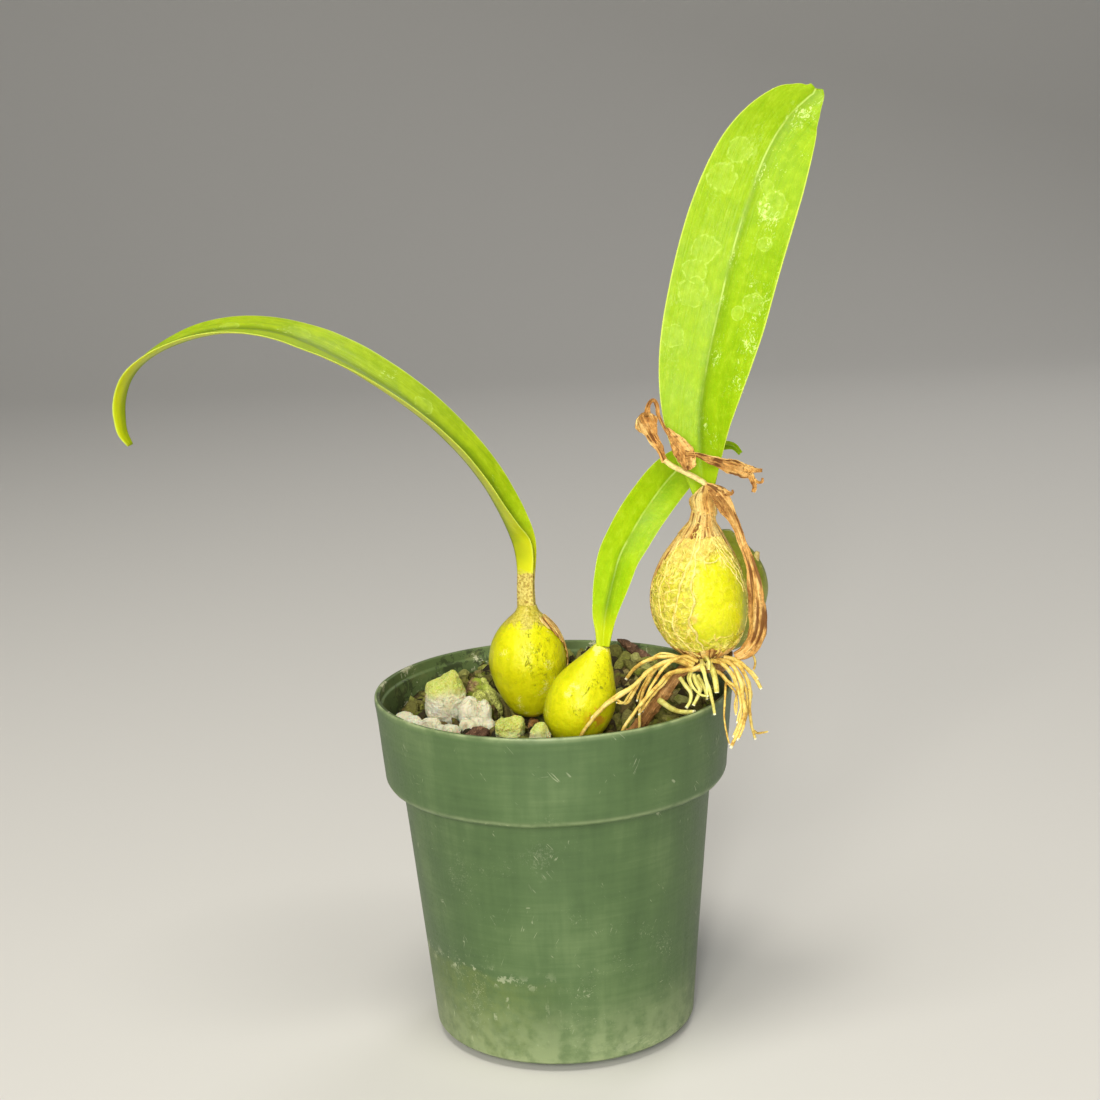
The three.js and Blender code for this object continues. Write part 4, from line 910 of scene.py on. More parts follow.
ROUND_EGG = [
    (0, 0.28), (0.04, 0.46), (0.14, 0.66), (0.28, 0.86), (0.4, 0.96), (0.5, 1), (0.6, 0.97), (0.7, 0.88),
    (0.8, 0.71), (0.88, 0.5), (0.94, 0.32),
]
PEAR_EGG = [
    (0, 0.24), (0.05, 0.5), (0.14, 0.78), (0.27, 0.95), (0.4, 1), (0.52, 0.96), (0.63, 0.83), (0.78, 0.59),
    (0.88, 0.41), (0.95, 0.3),
]
RAISED_EGG = [
    (0, 0.3), (0.05, 0.56), (0.12, 0.78), (0.24, 0.96), (0.36, 1), (0.5, 0.93), (0.62, 0.77), (0.72, 0.57),
    (0.8, 0.38), (0.86, 0.24),
]
BULBS = {
    "left": {
        "egg": ROUND_EGG, "base": (-5.8, 0, 81.1), "top": (-5.6, 0.6, 109.2), "radius": 9.75, "neck": 2.3,
        "lean": -0.3,
    },
    "front": {
        "egg": PEAR_EGG, "base": (1.9, -21.6, 80.3), "top": (12.3, -21, 103.6), "radius": 8.3, "neck": 1.8,
        "lean": 0.3,
    },
    "raised": {
        "egg": RAISED_EGG, "base": (36.8, -17, 98.8), "top": (37.8, -17, 137.9), "radius": 11.3, "neck": 2.2,
        "lean": -1.6,
    },
    "back": {
        "egg": ROUND_EGG, "base": (44.2, 6.4, 94.6), "top": (44.6, 7, 124.8), "radius": 10.5, "neck": 1.4,
        "lean": 0,
    },
}


def bulb_radius(bulb, t):
    return eased([*bulb["egg"], (1, bulb["neck"] / bulb["radius"])], np.clip(t, 0, 1)) * bulb["radius"]


def on_bulb(bulb, angle, t, off=0.0):
    """Points off a bulb's skin: angle in degrees from the viewer's side to the right, t up its length."""
    angle, t = np.broadcast_arrays(np.radians(np.asarray(angle, float)), np.asarray(t, float))
    base, top = np.array(bulb["base"], float), np.array(bulb["top"], float)
    axis = unit(top - base)
    right = unit(np.cross([0.0, 1.0, 0.0], axis))
    front = np.cross(axis, right)
    front = front if front[1] < 0 else -front
    radius = bulb_radius(bulb, t) + off
    core = base + (top - base) * t[..., None]
    core = core + np.array([bulb["lean"], 0.0, 0.0]) * np.sin(math.pi * np.clip(t, 0, 1))[..., None]
    return core + radius[..., None] * (right * np.sin(angle)[..., None] + front * np.cos(angle)[..., None])


def bare_share(angle, t):
    """1 inside the bare patch of the raised bulb, front right, and 0 where its old sheath still lies."""
    wander = 10 * lumpy(spot(np.radians(angle) * 4, t * 7, 0.0), 1.0, 71, 3)
    left = smooth(-16, -2, angle + wander)
    right = smooth(92, 74, angle + wander)
    low = smooth(0.12, 0.24, t + 0.006 * wander)
    high = smooth(0.78, 0.62, t + 0.004 * np.abs(angle - 30) * 0.6 + 0.006 * wander)
    return left * right * low * high


def vein_net(points, seed):
    """A wormy net of raised veins, 0 to 1."""
    p = np.asarray(points) * [1, 1, 0.62]
    p = p + 1.5 * shaken(p, 4.2, range(seed, seed + 3))
    coarse = 1 - smooth(0.015, 0.12, np.abs(lumpy(p, 2.3, seed + 5, 2)))
    fine = 1 - smooth(0.015, 0.13, np.abs(lumpy(p, 1.0, seed + 8, 2)))
    return coarse, fine


def make_bulb(name, bulb, finish, node, seed, relief=0.12, rings=120, sides=144, netted=False):
    around = np.linspace(-180, 180, sides, endpoint=False)
    grid_t, grid_a = np.meshgrid(np.linspace(0, 1, rings), around, indexing="ij")
    turn = np.radians(grid_a)
    lumps = round_spot(4, turn, grid_t * 5 + seed * 9)
    furrows = round_spot(9, turn, grid_t * 1.5 + seed)
    off = relief * lumpy(lumps, 1.0, seed, 4) + 0.5 * relief * lumpy(furrows, 1.0, seed + 3, 3)
    off = off * np.sin(math.pi * grid_t) ** 0.5
    marks = {}
    if netted:
        coarse, fine = vein_net(on_bulb(bulb, grid_a, grid_t), seed)
        sheathed = 1 - bare_share(grid_a, grid_t)
        near = smooth(0.0, 0.35, sheathed)
        net = np.clip(np.maximum(coarse * (0.2 + 0.8 * near), 0.8 * fine * (0.5 + 0.5 * sheathed)), 0, 1)
        net = np.maximum(net * (0.42 + 0.58 * near), 0.2 * smooth(0.9, 1.0, sheathed))
        off = off + 0.42 * net * (0.25 + 0.75 * sheathed)
        marks["net"] = np.concatenate([net.ravel(), [0, 0]])
        marks["sheath"] = np.concatenate([sheathed.ravel(), [1, 1]])
    points = on_bulb(bulb, grid_a, grid_t, off)
    low = points[0].mean(axis=0) - 0.018 * (np.array(bulb["top"]) - np.array(bulb["base"]))
    flat = np.vstack([points.reshape(-1, 3), low, points[-1].mean(axis=0)])
    marks["height"] = np.concatenate([grid_t.ravel(), [0, 1]])
    marks["turn"] = np.concatenate([grid_a.ravel(), [0, 0]])
    return put(name, flat, rings_closed(rings, sides), finish, node, "pseudobulb", marks)


def pleats(turns, t, seed):
    """Lengthwise pleats of papery tissue, from -1 deep to 1 high, with finer veins between them."""
    place = spot(turns, t * 3, seed * 1.7)
    wide = 1 - 5 * np.abs(lumpy(place, 1.0, seed, 2))
    return np.clip(0.7 * wide + 0.5 * lumpy(place * [2.7, 2, 1], 1.0, seed + 8, 2), -1, 1)


def bulb_paper(
    bulb, low, high, edge_left, edge_right, off, seed, ridges=0.12, folds=9.0, cells=60, rows=70, rag=5.0,
):
    """A ragged papery patch on a bulb, from t low to high, between two edges given as keys (t, angle)."""
    grid_s, grid_c = np.meshgrid(np.linspace(0, 1, rows + 1), np.linspace(0, 1, cells + 1), indexing="ij")
    jag = round_spot(4, grid_c * 2 * math.pi, float(seed))
    start = low + 0.03 * lumpy(jag, 1.0, seed + 1, 3)
    stop = high + 0.04 * lumpy(jag + 40, 1.0, seed + 2, 3)
    t = start + (stop - start) * grid_s
    side = spot(t * 24, 0.0, float(seed))
    left = eased(edge_left, t) + rag * lumpy(side, 1.0, seed + 3, 3)
    right = eased(edge_right, t) + rag * lumpy(side + 60, 1.0, seed + 4, 3)
    angle = left + (right - left) * grid_c
    fold = pleats(np.radians(angle) * folds, t, seed)
    rise = off + ridges * (1 + fold)
    outer = on_bulb(bulb, angle, t, rise + 0.14)
    inner = on_bulb(bulb, angle, t, rise)
    place = spot(np.radians(angle) * bulb["radius"], t * 38, 0.0)
    return thin_shell(outer, inner, place, 0.5 + 0.5 * fold)


def neck_wrap():
    """The sheath's upper end: it wraps the tall leaf's foot and narrows to where the dry stalk comes out."""
    s, c = np.meshgrid(np.linspace(0, 1, 70), np.linspace(-1, 1, 90), indexing="ij")
    reach = eased([(0, 178), (0.25, 168), (0.5, 120), (0.75, 84), (1, 62)], s)
    turn = np.radians((reach + 9 * lumpy(spot(s * 9, np.sign(c) * 2, 0.0), 1.0, 3, 3)) * c)
    fold = pleats(turn * 5.5, s * 0.5, 5)
    radius = eased([(0, 2.6), (0.3, 2.85), (0.6, 3.0), (0.85, 2.1), (1, 1.15)], s) + 0.32 * fold
    x = eased([(0, 37.7), (0.5, 37.2), (1, 37.3)], s)
    y = -17 - eased([(0, 0), (0.3, 0.1), (0.6, 1.7), (0.85, 4.4), (1, 5.9)], s)
    z = 133.6 + 8.4 * s - 1.2 * s * (1 - np.cos(turn))

    def around(r):
        return spot(x + r * np.sin(turn), y - r * np.cos(turn), z)

    return thin_shell(around(radius + 0.16), around(radius), spot(turn * 3, s * 9, 0.0), 0.5 + 0.5 * fold)


def thin_shell(outer, inner, place, fold):
    """Closes two grids of points into one thin sheet."""
    rows, cols = outer.shape[:2]
    points = np.vstack([outer.reshape(-1, 3), inner.reshape(-1, 3)])
    shift = rows * cols
    faces = []
    for j in range(rows - 1):
        for i in range(cols - 1):
            a = j * cols + i
            faces.append((a, a + 1, a + cols + 1, a + cols))
            faces.append((a + shift, a + cols + shift, a + cols + 1 + shift, a + 1 + shift))
    for j in range(rows - 1):
        for a in (j * cols, j * cols + cols - 1):
            faces.append((a, a + cols, a + cols + shift, a + shift))
    for i in range(cols - 1):
        for a in (i, (rows - 1) * cols + i):
            faces.append((a, a + 1, a + 1 + shift, a + shift))
    flat = place.reshape(-1, 3)
    # fold is low in the pleat valleys, where the finish paints shade.
    return points, faces, {"blade": np.vstack([flat, flat]), "fold": np.tile(fold.ravel(), 2)}


# Geometry nodes: cords along drawn lines, and crumbs on scattered points


def new_growth(name, inputs):
    """An empty geometry tree. inputs are (name, socket kind, value) after the geometry itself."""
    given = [("Geometry", "Geometry", None), *inputs, ("Finish", "Material", None)]
    return new_group(name, "GeometryNodeTree", given, [("Geometry", "Geometry")])


def carried(g, name, kind="FLOAT"):
    return g.wire("GeometryNodeInputNamedAttribute", {"Name": name}, data_type=kind)


def grown_finish(g, geometry, offset):
    """Moves the grown points by offset, and ends the tree with its finish."""
    moved = g.wire("GeometryNodeSetPosition", {"Geometry": geometry, "Offset": offset})
    whole = g.wire("GeometryNodeRealizeInstances", {0: moved})
    painted = g.wire("GeometryNodeSetMaterial", {"Geometry": whole, "Material": g.given["Finish"]})
    g.feed(g.result[0], painted)
    return g.tree


def make_cord_growth():
    """Round cords along the edges of a drawn line, as thick as its girth says, with a slight unevenness."""
    inputs = [("Sides", "Int", 10), ("Unevenness", "Float", 0.00006), ("Lump Size", "Float", 900.0)]
    g = new_growth("cords", inputs)
    girth = carried(g, "girth")
    curve = g.wire("GeometryNodeMeshToCurve", {0: g.given["Geometry"]})
    part = g.wire("GeometryNodeSplineParameter", {}, "Factor")
    inputs = {"Geometry": curve, "Name": "along", "Value": part}
    curve = g.wire("GeometryNodeStoreNamedAttribute", inputs, data_type="FLOAT", domain="POINT")
    ring = g.wire("GeometryNodeCurvePrimitiveCircle", {"Resolution": g.given["Sides"], "Radius": 1.0})
    inputs = {"Curve": curve, "Profile Curve": ring, "Scale": girth, "Fill Caps": True}
    tube = g.wire("GeometryNodeCurveToMesh", inputs)
    lumps = g.noise(g.wire("GeometryNodeInputPosition", {}), g.given["Lump Size"], 2.0)
    push = (lumps - 0.5) * g.given["Unevenness"]
    return grown_finish(g, tube, g.vector("SCALE", g.wire("GeometryNodeInputNormal", {}), scale=push))


def make_crumb_growth():
    """Uneven crumbs on scattered points, which carry each crumb's size, turn and draw."""
    inputs = [("Facets", "Int", 2), ("Roughness", "Float", 0.0024), ("Lump Size", "Float", 420.0)]
    g = new_growth("crumbs", inputs)
    crumb = g.wire("GeometryNodeMeshIcoSphere", {"Radius": 1.0, "Subdivisions": g.given["Facets"]})
    points = g.wire("GeometryNodeMeshToPoints", {0: g.given["Geometry"]})
    turn = g.wire("FunctionNodeEulerToRotation", {0: carried(g, "turn", "FLOAT_VECTOR")})
    size = carried(g, "size", "FLOAT_VECTOR")
    inputs = {"Points": points, "Instance": crumb, "Rotation": turn, "Scale": size}
    whole = g.wire("GeometryNodeRealizeInstances", {0: g.wire("GeometryNodeInstanceOnPoints", inputs)})
    place = g.wire("GeometryNodeInputPosition", {})
    return grown_finish(g, whole, g.push(place, g.given["Lump Size"], g.given["Roughness"]))


CORDS = make_cord_growth()
CRUMBS = make_crumb_growth()


def grown(piece, tree, **values):
    """Runs a geometry tree on a piece and keeps the result as its plain mesh."""
    growth = piece.modifiers.new("growth", "NODES")
    growth.node_group = tree
    for socket in tree.interface.items_tree:
        key = socket.name.replace(" ", "_")
        if socket.in_out == "INPUT" and key in values:
            growth[socket.identifier] = values[key]
    return baked(piece)


def cords(name, lines, finish, sides=10, unevenness=0.00006, lump_size=900.0):
    """Cords along lines of (points in mm, radii in mm)."""
    verts, edges, girth = [], [], []
    for points, radii in lines:
        first = len(verts)
        verts += (np.asarray(points) * MM).tolist()
        girth += (np.broadcast_to(radii, len(points)) * MM).tolist()
        edges += [(first + i, first + i + 1) for i in range(len(points) - 1)]
    mesh = bpy.data.meshes.new(name)
    mesh.from_pydata(verts, edges, [])
    layer = mesh.attributes.new("girth", "FLOAT", "POINT")
    layer.data.foreach_set("value", girth)
    piece = bpy.data.objects.new(name, mesh)
    bpy.context.collection.objects.link(piece)
    grown(piece, CORDS, Sides=sides, Unevenness=unevenness, Lump_Size=lump_size, Finish=finish)
    piece.data.shade_smooth()
    return piece


# Pot

POT_HEIGHT = 88.5
RIM_RADIUS = 44.95
COLLAR_FOOT_RADIUS = 43
COLLAR_FOOT_Z = 67
WALL_TOP_RADIUS = 38.9
WALL_TOP_Z = 65.4
WALL_FOOT_RADIUS = 33
WALL_FOOT_Z = 2.6
FOOT_RADIUS = 27.5
FOOT_STEP = 1.8
WALL = 1.3
POT_SIDES = 216
POT_FLOOR_Z = 1.4
# The pot's flow marks are drawn on a flat wrap of this radius
WRAP_RADIUS = 38
# Pale edges of the pot, part wear and part painted highlight: height, reach, the radius beyond which it
# counts, and how strong
POT_EDGES = [(POT_HEIGHT, 0.5, 43.4, 1.0), (COLLAR_FOOT_Z, 0.5, 42, 0.5), (WALL_FOOT_Z, 0.7, 32, 1.0)]
DRAIN_COUNT = 6
DRAIN_RADIUS = 3
DRAIN_RING = 22


def rounded(profile, radius, bits=4):
    """Rounds each corner of an open profile of (radius, height, corner rounding or None)."""
    out = [np.array(profile[0][:2], float)]
    for before, here, after in zip(profile, profile[1:], profile[2:]):
        a, b, c = (np.array(v[:2], float) for v in (before, here, after))
        r = here[2] if len(here) > 2 else radius
        reach = min(r, 0.45 * np.linalg.norm(a - b), 0.45 * np.linalg.norm(c - b))
        start, stop = b + unit(a - b) * reach, b + unit(c - b) * reach
        for k in range(bits + 1):
            s = k / bits
            out.append((1 - s) ** 2 * start + 2 * s * (1 - s) * b + s**2 * stop)
    out.append(np.array(profile[-1][:2], float))
    return np.array(out)


def inner_wall(z):
    share = (z - WALL_FOOT_Z) / (WALL_TOP_Z - WALL_FOOT_Z)
    return WALL_FOOT_RADIUS + share * (WALL_TOP_RADIUS - WALL_FOOT_RADIUS) - WALL


def inner_collar(z):
    share = (z - COLLAR_FOOT_Z) / (POT_HEIGHT - COLLAR_FOOT_Z)
    return COLLAR_FOOT_RADIUS + share * (RIM_RADIUS - COLLAR_FOOT_RADIUS) - WALL


def make_pot(outside, inside):
    bead_z = POT_HEIGHT - 2.4
    outer = [
        (0.05, 0), (FOOT_RADIUS, 0), (FOOT_RADIUS + 1.4, 0.4), (FOOT_RADIUS + 1.8, FOOT_STEP),
        (WALL_FOOT_RADIUS - 0.7, FOOT_STEP), (WALL_FOOT_RADIUS, WALL_FOOT_Z), (34.6, 20), (36.2, 37),
        (37.7, 53), (WALL_TOP_RADIUS, WALL_TOP_Z, 1.2), (COLLAR_FOOT_RADIUS - 0.9, COLLAR_FOOT_Z - 0.9, 1.0),
        (COLLAR_FOOT_RADIUS - 0.05, COLLAR_FOOT_Z + 0.4, 1.2), (43.6, 74), (44.35, 82), (44.8, 86.2, 0.4),
        (RIM_RADIUS, POT_HEIGHT - 1.6, 0.3), (RIM_RADIUS, POT_HEIGHT, 0.5),
    ]
    inner = [
        (RIM_RADIUS - WALL, POT_HEIGHT, 0.4), (inner_collar(bead_z) + 0.1, bead_z, 0.3),
        (inner_collar(bead_z) - 0.5, bead_z - 0.4, 0.3), (inner_collar(76), 76),
        (inner_collar(68.6), 68.6, 1.0), (inner_wall(WALL_TOP_Z), WALL_TOP_Z + 1.1, 1.0),
        (inner_wall(40), 40), (inner_wall(4), 4), (inner_wall(4) - 0.9, FOOT_STEP + WALL),
        (FOOT_RADIUS, FOOT_STEP + WALL), (FOOT_RADIUS - 1.2, POT_FLOOR_Z), (0.05, POT_FLOOR_Z),
    ]
    profile = rounded([*outer, *inner], 0.35)
    split = int(np.argmax(profile[:, 1] >= POT_HEIGHT - 0.02))
    r, a = np.meshgrid(profile[:, 0], even_turns(POT_SIDES), indexing="ij")
    z = np.repeat(profile[:, 1][:, None], POT_SIDES, axis=1)
    high = smooth(55, 88, z)
    bend = 0.12 * np.sin(3 * a + 1.0) + 0.1 * np.sin(5 * a + 4.0) - 0.22
    place = round_spot(r, a, z)
    dents = 0.09 * lumpy(place, 9.0, 4, 2) * smooth(4, 12, z)
    outer_shift = bend * high + dents - 0.09 * smooth(4, 12, z)
    lip = np.exp(-(((z - (COLLAR_FOOT_Z - 0.3)) / 1.4) ** 2)) * (r > WALL_TOP_RADIUS + 1)
    drop = -0.5 * lip * (lumpy(place, 6.0, 9, 2) ** 2)
    r = np.maximum(r + np.where(r > 8, outer_shift, 0), 0.02)
    points = round_spot(r, a, z + drop)
    rim = np.zeros_like(r)
    for edge_z, reach, beyond, share in POT_EDGES:
        rim = np.maximum(rim, share * np.exp(-(((z - edge_z) / reach) ** 2)) * (r > beyond))
    rings = len(profile)
    flat = np.vstack([points.reshape(-1, 3), [0, 0, 0], [0, 0, POT_FLOOR_Z]])
    seam = np.where(a > math.pi, a - 2 * math.pi, a)
    seam = np.where(seam < 0, seam + 2 * math.pi, seam) - 1.5 * math.pi
    wrap = spot(seam * WRAP_RADIUS, z, r).reshape(-1, 3)
    marks = {"rim": np.concatenate([rim.ravel(), [0, 0]]), "wrap": np.vstack([wrap, [0, 0, 0], [0, 0, 0]])}
    faces = rings_closed(rings, POT_SIDES)
    pot = put("nursery_pot", flat, faces, [outside, inside], marks=marks)
    kinds = [1 if k // POT_SIDES >= split else 0 for k in range((rings - 1) * POT_SIDES)]
    kinds += [0, 1] * POT_SIDES
    pot.data.polygons.foreach_set("material_index", kinds[: len(pot.data.polygons)])
    drills = []
    for turn in even_turns(DRAIN_COUNT) + math.pi / DRAIN_COUNT:
        ends = [round_spot(DRAIN_RING, turn, h) for h in (-2.0, 6.0)]
        tube = [end + round_spot(DRAIN_RADIUS, even_turns(32), 0.0) for end in ends]
        drills.append((np.vstack([*tube, *ends]), rings_closed(2, 32), {}))
    verts, faces, _ = joined_pieces(drills)
    drill = put("drill", verts, faces, outside)
    cut = pot.modifiers.new("drains", "BOOLEAN")
    cut.object = drill
    cut.operation = "DIFFERENCE"
    cut.solver = "EXACT"
    baked(pot)
    bpy.data.objects.remove(drill)
    settle(pot, "pot")


# Potting mix

MIX_LEVEL = 79.6
MIX_RISE = 5.2
BED_SIDES = 150


def mix_height(x, y):
    rise = MIX_RISE * smooth(-10, 40, x * 0.35 + y * 0.9)
    return MIX_LEVEL + rise + 0.6 * np.sin(x * 0.31 + 1) * np.cos(y * 0.27) + 0.3 * np.sin(x * 0.7 - y * 0.5)


def make_bed(finish):
    reach = inner_collar(MIX_LEVEL) - 0.6
    low = FOOT_STEP + WALL + 0.3
    angle = even_turns(BED_SIDES)
    radii = np.concatenate([np.linspace(0.03, 0.38, 26), np.linspace(0.4, 1, 46)]) * reach
    r, a = np.meshgrid(radii, angle, indexing="ij")
    flat = round_spot(r, a, 0.0)
    top = flat.copy()
    top[..., 2] = mix_height(flat[..., 0], flat[..., 1]) + 0.9 * lumpy(flat, 3.2, 2, 4) - 0.6
    wall = [
        (inner_collar(69) - 0.6, 69), (inner_wall(65) - 0.4, 66), (inner_wall(low + 2) - 0.4, low + 2),
        (inner_wall(low) - 1.3, low), (4, low),
    ]
    loops = np.concatenate([top, [round_spot(radius, angle, float(height)) for radius, height in wall]])
    points = np.vstack([loops.reshape(-1, 3), [0, 0, top[0, :, 2].mean()], [0, 0, low]])
    put("mix_bed", points, rings_closed(*loops.shape[:2]), finish, "potting_mix", "potting_mix")


def make_crumbs(finish, count=1300, seed=5):
    draw = random.Random(seed)
    bulbs = [((-5.8, 0), 6.0), ((3.5, -21.6), 6.6)]
    stones = [((-27.4, 2), 5.4), ((-19.6, -7), 3.6), ((-10.4, -18.6), 3.6), ((-4.2, -31), 2.2)]
    places, sizes, turns, draws = [], [], [], []
    reach = inner_collar(MIX_LEVEL) - 1.4
    while len(places) < count:
        far = reach * math.sqrt(draw.random())
        angle = 2 * math.pi * draw.random()
        x, y = far * math.cos(angle), far * math.sin(angle)
        if any(math.hypot(x - c[0], y - c[1]) < r for c, r in [*bulbs, *stones]):
            continue
        wide = 0.6 + 2.1 * draw.random() ** 2.4
        wide = min(wide, reach + 1.2 - far)
        lift = float(mix_height(x, y)) - 0.25 + 0.7 * draw.random() * wide
        places.append((x, y, lift))
        sizes.append((wide * (1 + 0.7 * draw.random()), wide * (0.55 + 0.4 * draw.random()), wide * 0.6))
        turns.append([math.pi * (draw.random() - 0.5) * k for k in (0.7, 0.7, 2)])
        draws.append(draw.random())
    mesh = bpy.data.meshes.new("mix_crumbs")
    mesh.from_pydata((np.array(places) * MM).tolist(), [], [])
    for label, values in {"size": np.array(sizes) * MM, "turn": np.array(turns)}.items():
        layer = mesh.attributes.new(label, "FLOAT_VECTOR", "POINT")
        layer.data.foreach_set("vector", values.ravel())
    layer = mesh.attributes.new("draw", "FLOAT", "POINT")
    layer.data.foreach_set("value", draws)
    piece = bpy.data.objects.new("mix_crumbs", mesh)
    bpy.context.collection.objects.link(piece)
    grown(piece, CRUMBS, Facets=2, Roughness=0.0024, Lump_Size=420.0, Finish=finish)
    piece.data.shade_flat()
    settle(piece, None)


# Stones and bark

# Stones drawn by their outline (x, z) as the viewer sees it, with the depth y and the half depth.
# algae is the height range over which a stone turns green.
DRAWN_STONES = {
    "pumice_large": {
        "outline": [
            (-24.8, 93.1), (-23.7, 92.2), (-22.9, 90.5), (-22.3, 88.8), (-21.5, 87.4), (-21.9, 85.2),
            (-22.6, 81.6), (-24.5, 78.9), (-28, 77.4), (-31.6, 79.4), (-32.6, 82.8), (-32.3, 85.8),
            (-32.2, 88.4), (-31.4, 90.2), (-30.1, 90.8), (-28.6, 91), (-27.2, 92.1), (-25.8, 93),
        ],
        "y": 2, "depth": 4.2, "algae": (83.4, 90), "rough": 0.5,
    },
    "pumice_green": {
        "outline": [
            (-11.2, 85.9), (-9.4, 86.5), (-7.6, 86.2), (-6.8, 84.9), (-6.7, 82.8), (-7.3, 80.6), (-10, 78.8),
            (-13, 79.6), (-14.8, 81.9), (-15, 83.7), (-14.5, 84.9), (-12.8, 85.8),
        ],
        "y": -18.6, "depth": 3.4, "algae": (77, 86), "rough": 0.85,
    },
    "pumice_pale": {
        "outline": [
            (-6.3, 84.6), (-5.9, 86.9), (-4.9, 88.2), (-3.4, 88.7), (-2.2, 88.5), (-1.5, 87.2), (-0.8, 84.8),
            (-1.6, 82), (-3.6, 80.6), (-5.6, 81.8),
        ],
        "y": -31, "depth": 2.3, "algae": (80, 91), "rough": 0.55,
    },
}
# Stones melted from lumps (centre, half sizes)
MELTED_STONES = {
    "pumice_lobed": [
        ((-20.7, -7.2, 84.2), (3.2, 3.0, 4.4)), ((-17.1, -7.4, 83.7), (1.95, 2.7, 4.1)),
        ((-20.3, -9.0, 81.4), (3.3, 2.3, 2.7)), ((-16.4, -8.8, 80.8), (2.0, 2.2, 2.6)),
    ],
    "granule_1": [((-37.4, -1.8, 81.6), (2.7, 2.6, 2.0)), ((-38.3, 0.8, 81.0), (1.6, 1.6, 1.4))],
    "granule_2": [((-35, -7, 82.0), (2.5, 2.4, 2.1))],
    "granule_3": [((-30.6, -9.6, 81.9), (2.9, 2.4, 2.2)), ((-32.9, -8.4, 81.6), (1.6, 1.7, 1.6))],
    "granule_4": [((-25.6, -12.6, 81.4), (2.8, 2.2, 1.9)), ((-28.0, -11.4, 81.2), (1.6, 1.6, 1.6))],
}
BARKS = {
    "bark_left": {"lumps": [((-19.4, 12.6, 84.4), (3.0, 2.2, 3.3))], "turn": (0, 24, 10)},
    "bark_mossy": {
        "lumps": [((-15.4, 2.6, 85.2), (1.25, 1.4, 5.4)), ((-18.4, 3.2, 84.6), (2.4, 1.8, 2.3))],
        "turn": (0, -24, 0),
    },
    "bark_front": {"lumps": [((-18.6, -19.6, 82.4), (3.2, 2.0, 1.9))], "turn": (12, 0, 24)},
    "bark_back": {"lumps": [((8.4, 27, 85), (4.0, 2.4, 3.2))], "turn": (0, 20, 30)},
    "bark_stick": {"lumps": [((22.6, 33.4, 87.4), (6.6, 1.6, 1.3))], "turn": (0, 27, -28)},
}


def lump_mass(name, lumps, voxel, turn=(0, 0, 0)):
    """Lumps melted into one body, as an unfinished piece."""
    body = bmesh.new()
    spin = Matrix.Rotation(math.radians(turn[2]), 4, "Z") @ Matrix.Rotation(math.radians(turn[1]), 4, "Y")
    spin = spin @ Matrix.Rotation(math.radians(turn[0]), 4, "X")
    for centre, half in lumps:
        place = Matrix.Translation(Vector(centre)) @ spin @ Matrix.Diagonal((*half, 1))
        bmesh.ops.create_icosphere(body, subdivisions=4, radius=1, matrix=Matrix.Scale(MM, 4) @ place)
    mesh = bpy.data.meshes.new(name)
    body.to_mesh(mesh)
    body.free()
    piece = bpy.data.objects.new(name, mesh)
    bpy.context.collection.objects.link(piece)
    melt = piece.modifiers.new("melt", "REMESH")
    melt.mode = "VOXEL"
    melt.voxel_size = voxel * MM
    soften = piece.modifiers.new("soften", "SMOOTH")
    soften.iterations = 4
    return baked(piece)


def roughened(piece, push, marks=None):
    """Moves each point along its normal by push(places in mm, normals), in mm."""
    mesh = piece.data
    count = len(mesh.vertices)
    places, normals = np.empty(count * 3), np.empty(count * 3)
    mesh.vertices.foreach_get("co", places)
    mesh.vertex_normals.foreach_get("vector", normals)
    places, normals = places.reshape(-1, 3) / MM, normals.reshape(-1, 3)
    moved = places + normals * push(places, normals)[:, None]
    mesh.vertices.foreach_set("co", (moved * MM).ravel())
    for label, rule in (marks or {}).items():
        layer = mesh.attributes.new(label, "FLOAT", "POINT")
        layer.data.foreach_set("value", rule(places))
    mesh.shade_smooth()


def closed_outline(points, count):
    """count even points round a closed outline whose corners are slightly rounded."""
    p = np.array([*points, points[0]], float)
    reach = np.concatenate([[0], np.cumsum(np.linalg.norm(np.diff(p, axis=0), axis=1))])
    spots = np.linspace(0, reach[-1], count, endpoint=False)
    p = np.stack([np.interp(spots, reach, row) for row in p.T], axis=1)
    for _ in range(10):
        p = 0.5 * p + 0.25 * (np.roll(p, 1, axis=0) + np.roll(p, -1, axis=0))
    return p


def drawn_stone(name, stone, sides=150, rings=90):
    """A stone whose outline, as the viewer sees it, is drawn point by point."""
    outline = closed_outline(stone["outline"], sides)
    middle = outline.mean(axis=0)
    turn = np.linspace(-math.pi / 2, math.pi / 2, rings + 2)[1:-1]
    width = np.cos(turn)[:, None, None] ** 0.8
    flat = middle + (outline - middle)[None] * width
    depth = stone["y"] + stone["depth"] * np.sin(turn)[:, None] * np.ones(sides)
    points = spot(flat[..., 0], depth, flat[..., 1]).reshape(-1, 3)
    ends = [(middle[0], stone["y"] + way * stone["depth"], middle[1]) for way in (-1, 1)]
    return put(name, np.vstack([points, ends]), rings_closed(rings, sides), [])


def stone_push(seed, rough):
    """How far each point of a stone stands out: blunt facets, then lumps and pores."""

    def push(p, n):
        facets = 1 - np.abs(lumpy(p, 3.8, seed, 1)) * 1.6
        pores = np.maximum(lumpy(p, 0.8, seed + 20, 2) - 0.2, 0)
        crisp = lumpy(p, 0.7, seed + 30, 2)
        skin = 0.55 * facets - 0.5 + 0.75 * lumpy(p, 1.9, seed + 9, 4) + 0.22 * crisp
        return rough * skin - 1.2 * rough * pores

    return push


def crack_lines(seed):
    return lambda p: 1 - smooth(0.0, 0.07, np.abs(lumpy(p * [1, 1, 0.5], 3.2, seed + 3, 2)))


